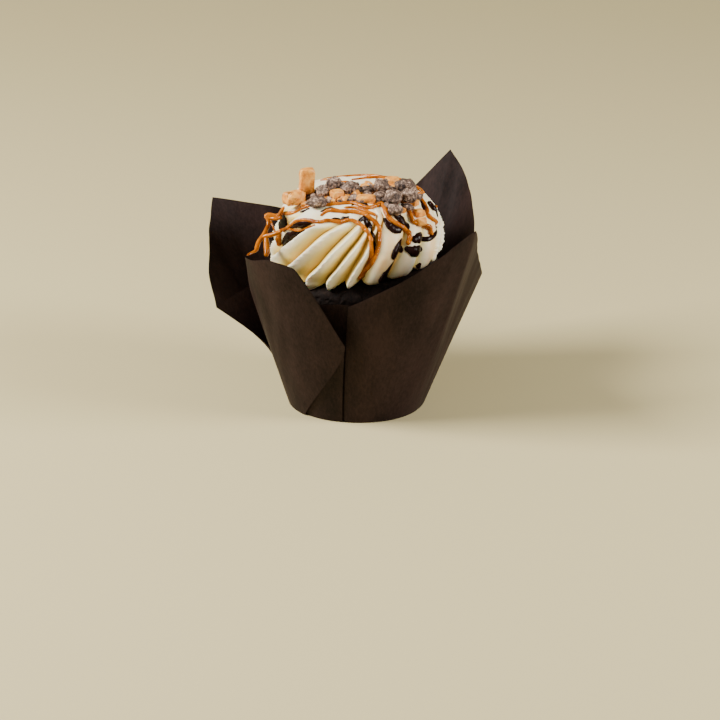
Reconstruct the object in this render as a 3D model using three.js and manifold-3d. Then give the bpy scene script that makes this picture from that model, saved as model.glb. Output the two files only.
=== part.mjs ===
// A chocolate cupcake in a folded tulip paper case, with a tall piped frosting swirl, caramel and
// chocolate drizzle, and a heap of toffee and chocolate chunks on top. Millimetres, +Z up. The origin
// is the centre of the case's flat base, and the open front pleat of the case faces -Y.
import * as THREE from "three";
import Module from "manifold-3d";

const wasm = await Module();
wasm.setup();

// Driving sizes
const GAP = 0.35; // clearance between neighbouring solids
const BASE_RADIUS = 25; // the round base that the square sheet is pressed into
const BASE_THICKNESS = 0.6;
const PAPER_THICKNESS = 0.5;
const WALL_FOOT = 0.25; // the walls start inside the base disc
const INNER_FOOT_RADIUS = 24.2; // foot of the hidden layers of the pleats
const STRIP_FOOT_RADIUS = 24.55;

const CAKE_FOOT_RADIUS = 22.2;
const CAKE_LOBES = 2.2; // how far the cake swells towards the four petals
const CRUMB_RELIEF = 0.22;
const CAKE_COLUMNS = 48;

const RIDGES = 20; // ridges round the piped swirl
const SWIRL_CENTRE_X = -0.9;
const SWIRL_TILT = 0.15; // the swirl's foot climbs towards +X
const SWIRL_RINGS = 12;
const CREST_FOOT = 63; // heights between which the crests are given
const CREST_TOP = 87;
const VALLEY = 0.72; // share of a ridge's width from its crest to its valley
const LOBE_VALLEY = 0.93;
const VALLEY_DEPTH = 2.7; // depth of a valley below its crest, in half ridge depths
const LOBE_DEPTH = 1.6;
const VALLEY_LIFT = 1.6; // how far the valleys lift at the swirl's foot
const RIDGE_COLUMNS = [0, 0.36, 0.72, 0.87]; // shares of a ridge's width that carry corners
const LOBE_COLUMNS = [0, 0.35, 0.72, 0.93];
const LOBES = [5, 6, 7]; // ridges that were piped as wide soft lobes

// Azimuths of the crests at the front and left, at even heights from CREST_FOOT to CREST_TOP.
const CREST_LINES = [
  [-172, -156.5, -141.5, -127.5, -113],
  [-146, -133, -122, -110.5, -93],
  [-122, -112.5, -104, -93.5, -82],
  [-107.5, -100, -92, -83, -75],
  [-94, -89, -82.5, -77.5, -70],
  [-83, -80, -75, -72, -64],
  [-69, -64.5, -59, -54, -47],
  [-47, -43.5, -40, -34, -26],
];

// Radius, height and half the ridge depth up the outside of the swirl.
const SWIRL_OUTLINE = [
  [31.0, 62.9, 0.5],
  [32.2, 63.6, 1.2],
  [32.6, 66.2, 1.6],
  [32.8, 70, 1.7],
  [32.5, 74.2, 1.7],
  [31.6, 77.8, 1.6],
  [30.1, 81.8, 1.2],
  [27.9, 85.4, 0.7],
  [24.6, 88.4, 0.35],
  [18, 90.1, 0.2],
  [10, 90.7, 0.1],
  [0, 90.8, 0],
];

// Radius and height of the cake's side and of its domed top.
const CAKE_SIDE = [
  [CAKE_FOOT_RADIUS, BASE_THICKNESS + GAP],
  [22.9, 1.8],
  [25.6, 16],
  [28.4, 30],
  [31.2, 43],
  [33.2, 52],
  [33.8, 55.6],
];
const CAKE_DOME = [
  [33.3, 58.4],
  [32, 60.7],
  [29, 62.1],
  [22, 63.1],
  [11, 63.8],
];
const CAKE_TOP = 64;

const degrees = (a) => (a * Math.PI) / 180;
const lerp = (a, b, t) => a + (b - a) * t;
const wrapped = (a) => ((((a + 180) % 360) + 360) % 360) - 180;

function seeded(seed) {
  let state = seed;
  return () => {
    state = (state * 1664525 + 1013904223) % 4294967296;
    return state / 4294967296;
  };
}

function polar(azimuth, radius, height) {
  const a = degrees(azimuth);
  return [radius * Math.cos(a), radius * Math.sin(a), height];
}

// A smooth curve through rows of numbers, at f from 0 (first row) to 1 (last row).
function along(rows, f) {
  const last = rows.length - 1;
  const p = Math.min(Math.max(f, 0), 1) * last;
  const i = Math.min(Math.floor(p), last - 1);
  const t = p - i;
  const before = rows[Math.max(i - 1, 0)];
  const from = rows[i];
  const to = rows[i + 1];
  const after = rows[Math.min(i + 2, last)];
  return from.map((b, k) => {
    const a = before[k];
    const c = to[k];
    const d = after[k];
    const square = 2 * a - 5 * b + 4 * c - d;
    const cube = 3 * b - a - 3 * c + d;
    return 0.5 * (2 * b + (c - a) * t + square * t * t + cube * t * t * t);
  });
}

function solid(vertices, triangles) {
  const mesh = new wasm.Mesh({
    numProp: 3,
    vertProperties: new Float32Array(vertices.flat()),
    triVerts: new Uint32Array(triangles.flat()),
  });
  return new wasm.Manifold(mesh);
}

// A closed solid of rings from the lower pole to the upper pole; ring(i) gives its points in order.
function ringSolid(lower, rings, upper) {
  const count = rings[0].length;
  const vertices = [lower, ...rings.flat(), upper];
  const at = (i, j) => 1 + i * count + (j % count);
  const triangles = [];
  for (let j = 0; j < count; j++) {
    triangles.push([0, at(0, j + 1), at(0, j)]);
    for (let i = 0; i < rings.length - 1; i++) {
      triangles.push([at(i, j), at(i, j + 1), at(i + 1, j + 1)]);
      triangles.push([at(i, j), at(i + 1, j + 1), at(i + 1, j)]);
    }
    triangles.push([at(rings.length - 1, j), at(rings.length - 1, j + 1), vertices.length - 1]);
  }
  return solid(vertices, triangles);
}

// A plate of even thickness about a grid of points, grid[column][row].
function plate(grid, thickness) {
  const columns = grid.length;
  const rows = grid[0].length;
  const point = (c, r) => new THREE.Vector3(...grid[c][r]);
  const offset = (c, r, side) => {
    const across = point(Math.min(c + 1, columns - 1), r).sub(point(Math.max(c - 1, 0), r));
    const up = point(c, Math.min(r + 1, rows - 1)).sub(point(c, Math.max(r - 1, 0)));
    const normal = across.cross(up).normalize();
    return point(c, r).addScaledVector(normal, (side * thickness) / 2).toArray();
  };
  const vertices = [];
  for (const side of [1, -1])
    for (let c = 0; c < columns; c++)
      for (let r = 0; r < rows; r++) vertices.push(offset(c, r, side));
  const front = (c, r) => c * rows + r;
  const back = (c, r) => columns * rows + c * rows + r;
  const triangles = [];
  const quad = (a, b, c, d) => triangles.push([a, b, c], [a, c, d]);
  for (let c = 0; c < columns - 1; c++) {
    for (let r = 0; r < rows - 1; r++) {
      quad(front(c, r), front(c + 1, r), front(c + 1, r + 1), front(c, r + 1));
      quad(back(c, r), back(c, r + 1), back(c + 1, r + 1), back(c + 1, r));
    }
    quad(back(c, 0), back(c + 1, 0), front(c + 1, 0), front(c, 0));
    quad(front(c, rows - 1), front(c + 1, rows - 1), back(c + 1, rows - 1), back(c, rows - 1));
  }
  for (let r = 0; r < rows - 1; r++) {
    quad(back(0, r), front(0, r), front(0, r + 1), back(0, r + 1));
    const last = columns - 1;
    quad(front(last, r), back(last, r), back(last, r + 1), front(last, r + 1));
  }
  return solid(vertices, triangles);
}

// How far the left fold stays close to the cake before it flares out to its tip.
const LEFT_FOLD_HUG = 9.6;

// Paper case. Each layer runs from an arc of the round base up to its own stretch of the sheet's edge.
// edge rows are azimuth, radius and height, in order round the case; foot holds the two azimuths and
// the radius at the base. bend above 1 lets a side fold swing round the case before it reaches its tip,
// and hug pulls the first and last line of a layer in towards the cake at half height.
const PETALS = {
  frontRight: {
    foot: [-100.5, 0, BASE_RADIUS],
    edge: [
      [-94.2, 41.6, 57.3],
      [-85.9, 44.6, 61.1],
      [-71.5, 50.6, 68.9],
      [-57.5, 57.5, 79.1],
      [-50, 60.7, 85],
      [-44.3, 61.5, 87.3],
      [-30.9, 52.6, 76.8],
      [-13.2, 48.3, 64.9],
      [0.6, 48.5, 56.6],
    ],
    corner: 5,
    columns: [8, 5],
  },
  backRight: {
    foot: [4, 87, BASE_RADIUS],
    edge: [
      [5, 46.6, 60],
      [12.3, 47, 70.2],
      [23.6, 50, 75.2],
      [34.7, 54.4, 80.9],
      [43.5, 58.2, 87.3],
      [50.5, 59, 93.6],
      [56.9, 56.7, 86],
      [63.2, 53.8, 78.8],
      [75, 47.5, 66],
      [87, 44, 57],
    ],
    corner: 5,
    columns: [6, 6],
  },
  backLeft: {
    foot: [93, 180, BASE_RADIUS],
    edge: [
      [93, 44, 56],
      [107, 49, 63],
      [120.9, 57.7, 67.9],
      [131.4, 66.7, 70.3],
      [142.1, 73.3, 73.9],
      [148.4, 68.7, 64.9],
      [156.8, 63.4, 58],
      [171.9, 57.1, 49.2],
      [181.1, 54.2, 43.3],
    ],
    corner: 4,
    columns: [6, 6],
    hug: [0, LEFT_FOLD_HUG],
  },
  frontLeft: {
    foot: [182, 213, BASE_RADIUS],
    edge: [
      [184, 39.6, 47],
      [200, 44, 60],
      [209.9, 48.2, 71.1],
      [218.6, 49.7, 72],
      [228.7, 50.6, 74.5],
      [235.6, 51.5, 74.8],
      [240.8, 51.6, 74.3],
      [245, 51.3, 72.3],
      [253.6, 47.4, 59.1],
      [258.9, 44.6, 49.9],
      [264.3, 42.2, 41.8],
    ],
    corner: 2,
    columns: [4, 10],
    bend: 1.6,
  },
};

// The hidden layers of the pleats: from a petal's fold to an inner fold, and across behind the gap.
const UNDER_LAYERS = [
  { foot: [-100.5, -78, BASE_RADIUS], edge: [[-94.2, 41.6, 57.3], [-72, 38.8, 56]] },
  { foot: [0, -14, BASE_RADIUS], edge: [[0.6, 48.5, 56.6], [-18, 39, 54]] },
  { foot: [4, 18, BASE_RADIUS], edge: [[5, 46.6, 60], [24, 39, 55]] },
  { foot: [87, 70, BASE_RADIUS], edge: [[87, 44, 57], [68, 39, 55]] },
  { foot: [93, 110, BASE_RADIUS], edge: [[93, 44, 56], [112, 39, 55]] },
  {
    foot: [180, 164, BASE_RADIUS],
    edge: [[181.1, 54.2, 43.3], [160, 38.6, 50]],
    hug: [LEFT_FOLD_HUG, 0],
  },
  { foot: [182, 198, BASE_RADIUS], edge: [[184, 39.6, 47], [202, 38.2, 50]] },
];
const INNER_LAYERS = [
  { foot: [-130, -78, INNER_FOOT_RADIUS], edge: [[-123, 38.2, 55], [-98, 38.6, 57], [-72, 38.8, 56]] },
  { foot: [-141, -102.5, STRIP_FOOT_RADIUS], edge: [[-128, 38.6, 41], [-96.6, 38.4, 38.8]] },
  { foot: [-14, 18, INNER_FOOT_RADIUS], edge: [[-18, 39, 54], [3, 39, 57], [24, 39, 55]] },
  { foot: [70, 110, INNER_FOOT_RADIUS], edge: [[68, 39, 55], [90, 39, 58], [112, 39, 55]] },
  { foot: [164, 198, INNER_FOOT_RADIUS], edge: [[160, 38.6, 50], [181, 38.4, 52], [202, 38.2, 50]] },
];

// Shares of the way round a layer. A petal has a line of points right at its square corner.
function shares(layer, columns) {
  if (!layer.corner) return Array.from({ length: columns + 1 }, (_, c) => c / columns);
  const [before, after] = layer.columns;
  const corner = layer.corner / (layer.edge.length - 1);
  const first = Array.from({ length: before }, (_, c) => (corner * c) / before);
  const second = Array.from({ length: after + 1 }, (_, c) => lerp(corner, 1, c / after));
  return [...first, ...second];
}

// Points of one layer: grid[column][row], ruled from the base to the sheet's edge.
function layerGrid(layer, columns, rows) {
  const bend = layer.bend ?? 1;
  const [hugFrom, hugTo] = layer.hug ?? [0, 0];
  const [footFrom, footTo, footRadius] = layer.foot;
  const footEndRadius = layer.footEnd ?? footRadius;
  return shares(layer, columns).map((f) => {
    const [topAzimuth, topRadius, topHeight] = layer.corner
      ? cornered(layer.edge, layer.corner, f)
      : along(layer.edge, f);
    const azimuth = lerp(footFrom, footTo, f);
    const radius = lerp(footRadius, footEndRadius, f);
    const hug = hugFrom * (1 - f) ** 2 + hugTo * f ** 3;
    const column = [];
    for (let r = 0; r <= rows; r++) {
      const t = r / rows;
      const swing = topAzimuth + (azimuth - topAzimuth) * (1 - t) ** lerp(1, bend, f);
      const reach = lerp(radius, topRadius, t) - hug * Math.sin(Math.PI * t);
      column.push(polar(swing, reach, lerp(WALL_FOOT, topHeight, t)));
    }
    return column;
  });
}

// The sheet's edge keeps its square corner: a smooth curve up to the corner, and another one after it.
function cornered(edge, corner, f) {
  const share = corner / (edge.length - 1);
  return f <= share
    ? along(edge.slice(0, corner + 1), f / share)
    : along(edge.slice(corner), (f - share) / (1 - share));
}

function paperCase() {
  const base = new THREE.CylinderGeometry(BASE_RADIUS + 0.2, BASE_RADIUS, BASE_THICKNESS, 44);
  base.rotateX(Math.PI / 2).translate(0, 0, BASE_THICKNESS / 2);
  let made = fromGeometry(base);
  for (const petal of Object.values(PETALS))
    made = made.add(plate(layerGrid(petal, 0, petal.bend || petal.hug ? 6 : 3), PAPER_THICKNESS));
  for (const layer of UNDER_LAYERS) {
    const grid = layerGrid({ ...layer, footEnd: INNER_FOOT_RADIUS }, 2, layer.hug ? 6 : 3);
    made = made.add(plate(grid, PAPER_THICKNESS));
  }
  for (const layer of INNER_LAYERS) made = made.add(plate(layerGrid(layer, 5, 3), PAPER_THICKNESS));
  return largest(made);
}

// Cake. It swells towards the petals, and its dome climbs with the swirl.
function cakePoint(azimuth, radius, height, crumb) {
  const share = Math.min(radius / 34, 1);
  const lobe = CAKE_LOBES * Math.cos(degrees(4 * azimuth + 180)) * (height / 60) ** 2 * share ** 3;
  const climb = height > 50 ? SWIRL_TILT * (height - 50) * 0.066 : 0;
  const [x, y] = polar(azimuth, radius + lobe + crumb, 0);
  return [x, y, height + climb * x];
}

function cake() {
  const random = seeded(11);
  const ring = ([radius, height], relief) => {
    const points = [];
    for (let j = 0; j < CAKE_COLUMNS; j++) {
      const crumb = relief * CRUMB_RELIEF * (2 * random() - 1);
      points.push(cakePoint((j * 360) / CAKE_COLUMNS, radius, height, crumb));
    }
    return points;
  };
  const rings = [ring([CAKE_FOOT_RADIUS * 0.5, CAKE_SIDE[0][1]], 0)];
  for (const [i, row] of CAKE_SIDE.entries()) rings.push(ring(row, i > 1 ? 1 : 0));
  for (const row of CAKE_DOME) rings.push(ring(row, row[0] > 31 ? 1 : 0));
  return ringSolid([0, 0, CAKE_SIDE[0][1]], rings, [0, 0, CAKE_TOP]);
}

// Azimuth of a crest at a height, counted from the first listed one and on round the swirl. Crests
// beyond the listed ones are spread evenly over the rest of the round.
function crestAzimuth(count, height) {
  const turns = Math.floor(count / RIDGES);
  const index = count - turns * RIDGES;
  const climb = (height - CREST_FOOT) / (CREST_TOP - CREST_FOOT);
  const seen = CREST_LINES.length;
  if (index < seen) return 360 * turns + along(CREST_LINES[index].map((value) => [value]), climb)[0];
  const last = crestAzimuth(seen - 1, height);
  const first = crestAzimuth(0, height) + 360;
  return 360 * turns + lerp(last, first, (index - seen + 1) / (RIDGES - seen + 1));
}

function ridgeAzimuth(phase, height) {
  const index = Math.floor(phase);
  return lerp(crestAzimuth(index, height), crestAzimuth(index + 1, height), phase - index);
}

// Ridges overlap like roof tiles: from 1 on a crest down a long round face into a valley, then a
// steep step up to the next crest. The wide lobes stay full until just before their valley.
function ridgeRelief(phase) {
  const round = ((phase % RIDGES) + RIDGES) % RIDGES;
  const index = Math.floor(round);
  const place = round - index;
  const lobe = LOBES.includes(index);
  const valley = lobe ? LOBE_VALLEY : VALLEY;
  const depth = lobe ? LOBE_DEPTH : VALLEY_DEPTH;
  if (place < valley) return 1 - depth * (place / valley) ** (lobe ? 5 : 1.5);
  return 1 - depth * ((1 - place) / (1 - valley)) ** 1.8;
}

// The upper stroke stands proud of the ridges at the front left.
function upperStroke(azimuth, height) {
  const reach = Math.exp(-((wrapped(azimuth + 150) / 48) ** 4));
  return 1.3 * reach * Math.exp(-(((height - 84) / 2) ** 2));
}

// A point of the swirl. At the foot the valleys lift off the cake, so the crests end in points.
function swirlPoint(azimuth, f, phase) {
  let [radius, height, depth] = along(SWIRL_OUTLINE, f);
  const relief = ridgeRelief(phase);
  height += SWIRL_TILT * radius * Math.cos(degrees(azimuth)) * (1 - f) ** 1.5;
  radius += depth * relief + upperStroke(azimuth, height);
  height += VALLEY_LIFT * ((1 - relief) / VALLEY_DEPTH) * Math.max(0, 1 - f / 0.2);
  const [x, y] = polar(azimuth, radius, 0);
  return [SWIRL_CENTRE_X + x, y, height];
}

// The ridge phase at an azimuth and height: whole ridges from the first crest, and a share of one.
function phaseAt(azimuth, height) {
  const crests = Array.from({ length: RIDGES + 1 }, (_, i) => crestAzimuth(i, height));
  const target = crests[0] + ((((azimuth - crests[0]) % 360) + 360) % 360);
  for (let i = 0; i < RIDGES; i++) {
    if (target <= crests[i + 1]) return i + (target - crests[i]) / (crests[i + 1] - crests[i]);
  }
  return RIDGES;
}

function onSwirl(azimuth, f, lift) {
  const flat = along(SWIRL_OUTLINE, f);
  const height = flat[1] + SWIRL_TILT * flat[0] * Math.cos(degrees(azimuth)) * (1 - f) ** 1.5;
  const phase = phaseAt(azimuth, height);
  const here = new THREE.Vector3(...swirlPoint(azimuth, f, phase));
  const slope = new THREE.Vector3(...along(SWIRL_OUTLINE, Math.min(f + 0.02, 1)))
    .sub(new THREE.Vector3(...along(SWIRL_OUTLINE, Math.max(f - 0.02, 0))));
  const outward = new THREE.Vector2(slope.y, -slope.x).normalize();
  const [x, y] = polar(azimuth, outward.x, 0);
  return here.addScaledVector(new THREE.Vector3(x, y, outward.y), lift);
}

function swirlBody() {
  const phases = [];
  for (let i = 0; i < RIDGES; i++) {
    for (const place of LOBES.includes(i) ? LOBE_COLUMNS : RIDGE_COLUMNS) phases.push(i + place);
  }
  const rings = [];
  for (const radius of [12, 22, 28.5]) {
    const points = [];
    for (const phase of phases) {
      const azimuth = ridgeAzimuth(phase, CREST_FOOT);
      const [x, y, z] = cakePoint(azimuth, radius, domeHeight(radius), 0);
      points.push([x, y, z + GAP]);
    }
    rings.push(points);
  }
  for (let i = 0; i < SWIRL_RINGS; i++) {
    const f = i / SWIRL_RINGS;
    const [, height] = along(SWIRL_OUTLINE, f);
    const points = [];
    for (const phase of phases) {
      points.push(swirlPoint(ridgeAzimuth(phase, height), f, phase));
    }
    rings.push(points);
  }
  const [, top] = SWIRL_OUTLINE.at(-1);
  return ringSolid([SWIRL_CENTRE_X, 0, CAKE_TOP + GAP], rings, [SWIRL_CENTRE_X, 0, top]);
}

// Height of the dome at a radius.
function domeHeight(radius) {
  const inner = [[0, CAKE_TOP], ...CAKE_DOME.slice().reverse()];
  for (let i = 0; i < inner.length - 1; i++) {
    const [r0, z0] = inner[i];
    const [r1, z1] = inner[i + 1];
    if (radius <= r1) return lerp(z0, z1, (radius - r0) / (r1 - r0));
  }
  return inner.at(-1)[1];
}

// Drizzle. Each strand is a string of places on the swirl: azimuth, and the share of the way from the
// swirl's foot to the middle of its top.
const CARAMEL_RADIUS = 1.05;
const CARAMEL = [
  [[-98, 0.67], [-87, 0.63], [-80, 0.55], [-79, 0.44], [-81, 0.33], [-87, 0.22]],
  [[-98, 0.72], [-80, 0.7], [-73, 0.63], [-71, 0.53], [-74, 0.42], [-77, 0.29], [-82, 0.19]],
  [[-62, 0.76], [-63, 0.68], [-59, 0.6], [-53, 0.54], [-48, 0.48], [-50, 0.36]],
  [[-43, 0.69], [-41, 0.58], [-34, 0.52], [-26, 0.42]],
  [[-15, 0.66], [-20, 0.54], [-17, 0.46]],
  [
    [-178, 0.56], [-160, 0.62], [-149, 0.65], [-140, 0.72],
    [-124, 0.77], [-100, 0.78], [-80, 0.79], [-61, 0.78],
  ],
  [[-178, 0.4], [-166, 0.45], [-148, 0.53], [-133, 0.62], [-120, 0.64], [-98, 0.67]],
  [[-166, 0.68], [-160, 0.6], [-169, 0.52], [-178, 0.44]],
  [[-176, 0.4], [-175, 0.22]],
  [[150, 0.52], [132, 0.62], [110, 0.7], [88, 0.76], [60, 0.78], [36, 0.74], [16, 0.72], [4, 0.68]],
  [[158, 0.64], [120, 0.46], [96, 0.52], [74, 0.38], [52, 0.52], [28, 0.44], [6, 0.52]],
];
const SAUCE_RADIUS = 0.95;
const STRAND_STEP = 4.6; // length of one stretch of a strand
const SAUCE = [
  [[-85, 0.66], [-81, 0.6], [-78, 0.53], [-77, 0.46], [-77, 0.38]],
  [[-65, 0.64], [-61, 0.56], [-57, 0.53]],
  [[-53, 0.43], [-59, 0.4], [-64, 0.35]],
  [[-52, 0.33], [-48, 0.28], [-38, 0.28]],
  [[-42, 0.43], [-35, 0.38], [-28, 0.38], [-24, 0.44]],
  [[-59, 0.21], [-64, 0.15], [-69, 0.09]],
  [[-163, 0.57], [-167, 0.5], [-165, 0.45]],
  [[-143, 0.55], [-133, 0.59], [-121, 0.62]],
  [[-160, 0.36], [-148, 0.46], [-131, 0.54]],
  [[140, 0.42], [128, 0.52], [112, 0.54]],
  [[84, 0.58], [70, 0.52], [58, 0.4]],
  [[40, 0.62], [24, 0.58], [14, 0.42]],
];

// A round strand with closed, rounded ends through points on the swirl.
function strand(places, radius, lift, sides) {
  const points = places.map(([azimuth, f]) => onSwirl(azimuth, f, lift));
  const curve = new THREE.CatmullRomCurve3(points);
  const steps = Math.max(4, Math.round(curve.getLength() / STRAND_STEP));
  const rings = [];
  for (let i = 0; i <= steps; i++) {
    const f = i / steps;
    const end = i === 0 || i === steps ? 0.55 : 1;
    const centre = curve.getPointAt(f);
    const ahead = curve.getTangentAt(f);
    const out = new THREE.Vector3(centre.x, centre.y, 20);
    const side = ahead.clone().cross(out).normalize();
    const up = side.clone().cross(ahead).normalize();
    const swell = 1 + 0.22 * Math.sin(2.3 * i + places.length);
    const points = [];
    for (let j = 0; j < sides; j++) {
      const turn = (j * 2 * Math.PI) / sides;
      points.push(
        centre
          .clone()
          .addScaledVector(side, radius * swell * end * Math.cos(turn))
          .addScaledVector(up, radius * swell * end * Math.sin(turn))
          .toArray(),
      );
    }
    rings.push(points);
  }
  const tip = (f, sign) =>
    curve.getPointAt(f).addScaledVector(curve.getTangentAt(f), 0.6 * radius * sign).toArray();
  return outward(ringSolid(tip(0, -1), rings, tip(1, 1)));
}

// Turns a solid right way out where its rings were wound the other way.
function outward(made) {
  if (made.volume() > 0) return made;
  const mesh = made.getMesh();
  const triangles = [];
  for (let i = 0; i < mesh.triVerts.length; i += 3)
    triangles.push([mesh.triVerts[i], mesh.triVerts[i + 2], mesh.triVerts[i + 1]]);
  return new wasm.Manifold(
    new wasm.Mesh({
      numProp: 3,
      vertProperties: mesh.vertProperties,
      triVerts: new Uint32Array(triangles.flat()),
    }),
  );
}

// Chunks. Each row: middle x, y, z, the three sizes, and the turns about Z and about X in degrees.
const CHUNKS = {
  toffee_tall: { at: [-18.7, -6.8, 95.6], size: [7.2, 5, 12.4], turn: [14, 4], boxy: true },
  toffee_wide: { at: [-23.6, -11.6, 90.5], size: [9.4, 7.6, 6.4], turn: [24, -12], boxy: true },
  toffee_mid: { at: [-7.4, -13.4, 92.4], size: [5.6, 4.8, 4], turn: [30, 0], boxy: true },
  toffee_flat: { at: [3.8, -15.8, 91.4], size: [8.2, 4.6, 3.2], turn: [-6, 8], boxy: true },
  toffee_back: { at: [13.4, 2.4, 92.8], size: [6.2, 5.4, 4.2], turn: [-24, 0], boxy: true },
  choc_left: { at: [-14.6, -18.6, 91], size: [8, 5.4, 4.4], turn: [-12, 0] },
  choc_hollow: { at: [-12.8, -11.8, 93], size: [5.2, 5, 4.8], turn: [20, 0] },
  choc_peak: { at: [-8.2, -7.6, 94.6], size: [6.4, 5.8, 6], turn: [40, 10] },
  choc_centre: { at: [-2.6, -9.6, 93.6], size: [6, 5.4, 5], turn: [-30, 0] },
  choc_rise: { at: [9.6, -8.4, 94.2], size: [6, 5.8, 5.8], turn: [10, 0] },
  choc_ridge: { at: [18.6, -3.6, 92.8], size: [8.2, 6, 5.4], turn: [-8, 0] },
  choc_front: { at: [13.9, -17, 92.6], size: [6.6, 6.4, 5.8], turn: [35, 0] },
  choc_edge: { at: [19.9, -13.4, 91.8], size: [6, 6.2, 5.6], turn: [0, 0] },
  choc_low: { at: [14.9, -23, 89.4], size: [6, 4.6, 4], turn: [16, 0] },
};

// A broken lump: a coarse ball or block with uneven corners.
function lump(size, boxy, seed, grow) {
  const random = seeded(seed);
  const geometry = new THREE.IcosahedronGeometry(1, 1);
  const position = geometry.getAttribute("position");
  const moved = new Map();
  const power = boxy ? 0.45 : 0.8;
  for (let i = 0; i < position.count; i++) {
    const p = new THREE.Vector3().fromBufferAttribute(position, i);
    const key = p.toArray().map((v) => Math.round(v * 1e4)).join();
    if (!moved.has(key)) {
      const square = p.toArray().map((v) => Math.sign(v) * Math.abs(v) ** power);
      const norm = boxy ? 0.88 : 0.96;
      const uneven = 1 + 0.24 * (random() - 0.5);
      moved.set(key, square.map((v, k) => v * norm * uneven * (size[k] / 2 + grow)));
    }
    position.setXYZ(i, ...moved.get(key));
  }
  return geometry;
}

function chunkGeometry(chunk, seed, grow) {
  const geometry = lump(chunk.size, chunk.boxy, seed, grow);
  geometry.rotateX(degrees(chunk.turn[1])).rotateZ(degrees(chunk.turn[0]));
  return geometry.translate(...chunk.at);
}

const SMALL_BITS = 22;

// Small bits between the chunks, pressed into the swirl's top and fused to it.
function smallBits() {
  const random = seeded(37);
  const bits = [];
  for (let i = 0; i < SMALL_BITS; i++) {
    const azimuth = 137.5 * i;
    const radius = 25 * Math.sqrt((i + 0.5) / SMALL_BITS);
    const f = 1 - radius / 62;
    const size = 2.4 + 1.8 * random();
    const where = onSwirl(azimuth, Math.min(f, 0.97), 0.3);
    const geometry = new THREE.IcosahedronGeometry(size / 2, 0);
    geometry.scale(1 + 0.4 * random(), 1, 0.8).rotateZ(6 * random());
    bits.push(fromGeometry(geometry.translate(where.x, where.y, where.z)));
  }
  return bits;
}

function fromGeometry(geometry) {
  const flat = geometry.index ? geometry.toNonIndexed() : geometry;
  const position = flat.getAttribute("position");
  const found = new Map();
  const vertices = [];
  const triangles = [];
  for (let i = 0; i < position.count; i += 3) {
    const corners = [0, 1, 2].map((k) => {
      const p = [position.getX(i + k), position.getY(i + k), position.getZ(i + k)];
      const key = p.map((v) => Math.round(v * 1e4)).join();
      if (!found.has(key)) {
        found.set(key, vertices.length);
        vertices.push(p);
      }
      return found.get(key);
    });
    if (new Set(corners).size === 3) triangles.push(corners);
  }
  return solid(vertices, triangles);
}

// The one closed body that matters, without scraps or sealed pockets.
function largest(made) {
  return made.decompose().reduce((a, b) => (b.volume() > a.volume() ? b : a));
}

function frosting(chunks) {
  let made = swirlBody();
  for (const places of CARAMEL) made = made.add(strand(places, CARAMEL_RADIUS, 0.35, 5));
  for (const places of SAUCE) made = made.add(strand(places, SAUCE_RADIUS, 0.15, 4));
  for (const bit of smallBits()) made = made.add(bit);
  for (const [i, chunk] of Object.values(chunks).entries())
    made = made.subtract(fromGeometry(chunkGeometry(chunk, 100 + i, GAP)));
  return largest(made);
}

function meshOf(made, name, colour, roughness) {
  const mesh = made.getMesh();
  const geometry = new THREE.BufferGeometry();
  const positions = new Float32Array(mesh.numVert * 3);
  for (let i = 0; i < mesh.numVert; i++)
    for (let k = 0; k < 3; k++) positions[i * 3 + k] = mesh.vertProperties[i * mesh.numProp + k];
  geometry.setAttribute("position", new THREE.BufferAttribute(positions, 3));
  geometry.setIndex(new THREE.BufferAttribute(new Uint32Array(mesh.triVerts), 1));
  geometry.computeVertexNormals();
  const shown = new THREE.Mesh(geometry, new THREE.MeshStandardMaterial({ color: colour, roughness }));
  shown.name = name;
  return shown;
}

// Each chunk gives way, with the usual clearance, to those listed before it.
function chunkSolid(index) {
  const rows = Object.values(CHUNKS);
  let made = fromGeometry(chunkGeometry(rows[index], 100 + index, 0));
  for (let i = 0; i < index; i++)
    made = made.subtract(fromGeometry(chunkGeometry(rows[i], 100 + i, GAP)));
  return largest(made);
}

const part = new THREE.Group();
part.add(meshOf(paperCase(), "paper_case", 0x3e302a, 0.8));
part.add(meshOf(cake(), "cake", 0x2a1a14, 0.9));
part.add(meshOf(frosting(CHUNKS), "frosting", 0xf0e6cf, 0.5));
for (const [i, [name, chunk]] of Object.entries(CHUNKS).entries()) {
  part.add(meshOf(chunkSolid(i), name, chunk.boxy ? 0xd9a066 : 0x5f5048, 0.7));
}

export default part;
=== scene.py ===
# %% [markdown]
# # A cupcake in a tulip case
# A dark chocolate cupcake stands in a case folded from one square of brown greaseproof paper. On it
# sit a tall piped swirl of cream frosting, caramel and chocolate drizzle, and a heap of broken toffee
# and chocolate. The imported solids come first, because every piece made below stands where they are.

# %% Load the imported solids
import functools
import math
import random

import bmesh
import bpy
from mathutils import Matrix, Vector, noise
from mathutils.bvhtree import BVHTree
from mathutils.kdtree import KDTree


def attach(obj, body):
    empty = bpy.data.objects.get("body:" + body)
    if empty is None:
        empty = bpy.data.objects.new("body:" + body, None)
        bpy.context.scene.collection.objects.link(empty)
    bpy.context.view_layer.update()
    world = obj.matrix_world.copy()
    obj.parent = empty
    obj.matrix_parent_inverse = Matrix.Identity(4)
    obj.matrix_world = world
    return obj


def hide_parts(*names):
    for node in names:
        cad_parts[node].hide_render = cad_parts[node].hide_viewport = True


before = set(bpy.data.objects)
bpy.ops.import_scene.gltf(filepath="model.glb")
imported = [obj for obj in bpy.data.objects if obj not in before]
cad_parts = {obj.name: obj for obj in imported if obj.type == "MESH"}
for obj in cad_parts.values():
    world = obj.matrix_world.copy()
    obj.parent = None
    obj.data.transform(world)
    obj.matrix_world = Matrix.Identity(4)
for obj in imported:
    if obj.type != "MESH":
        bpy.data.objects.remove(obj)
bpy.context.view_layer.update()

MM = 0.001
BODY = "root"
print("packed nodes:", ", ".join(sorted(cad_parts)))

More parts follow.
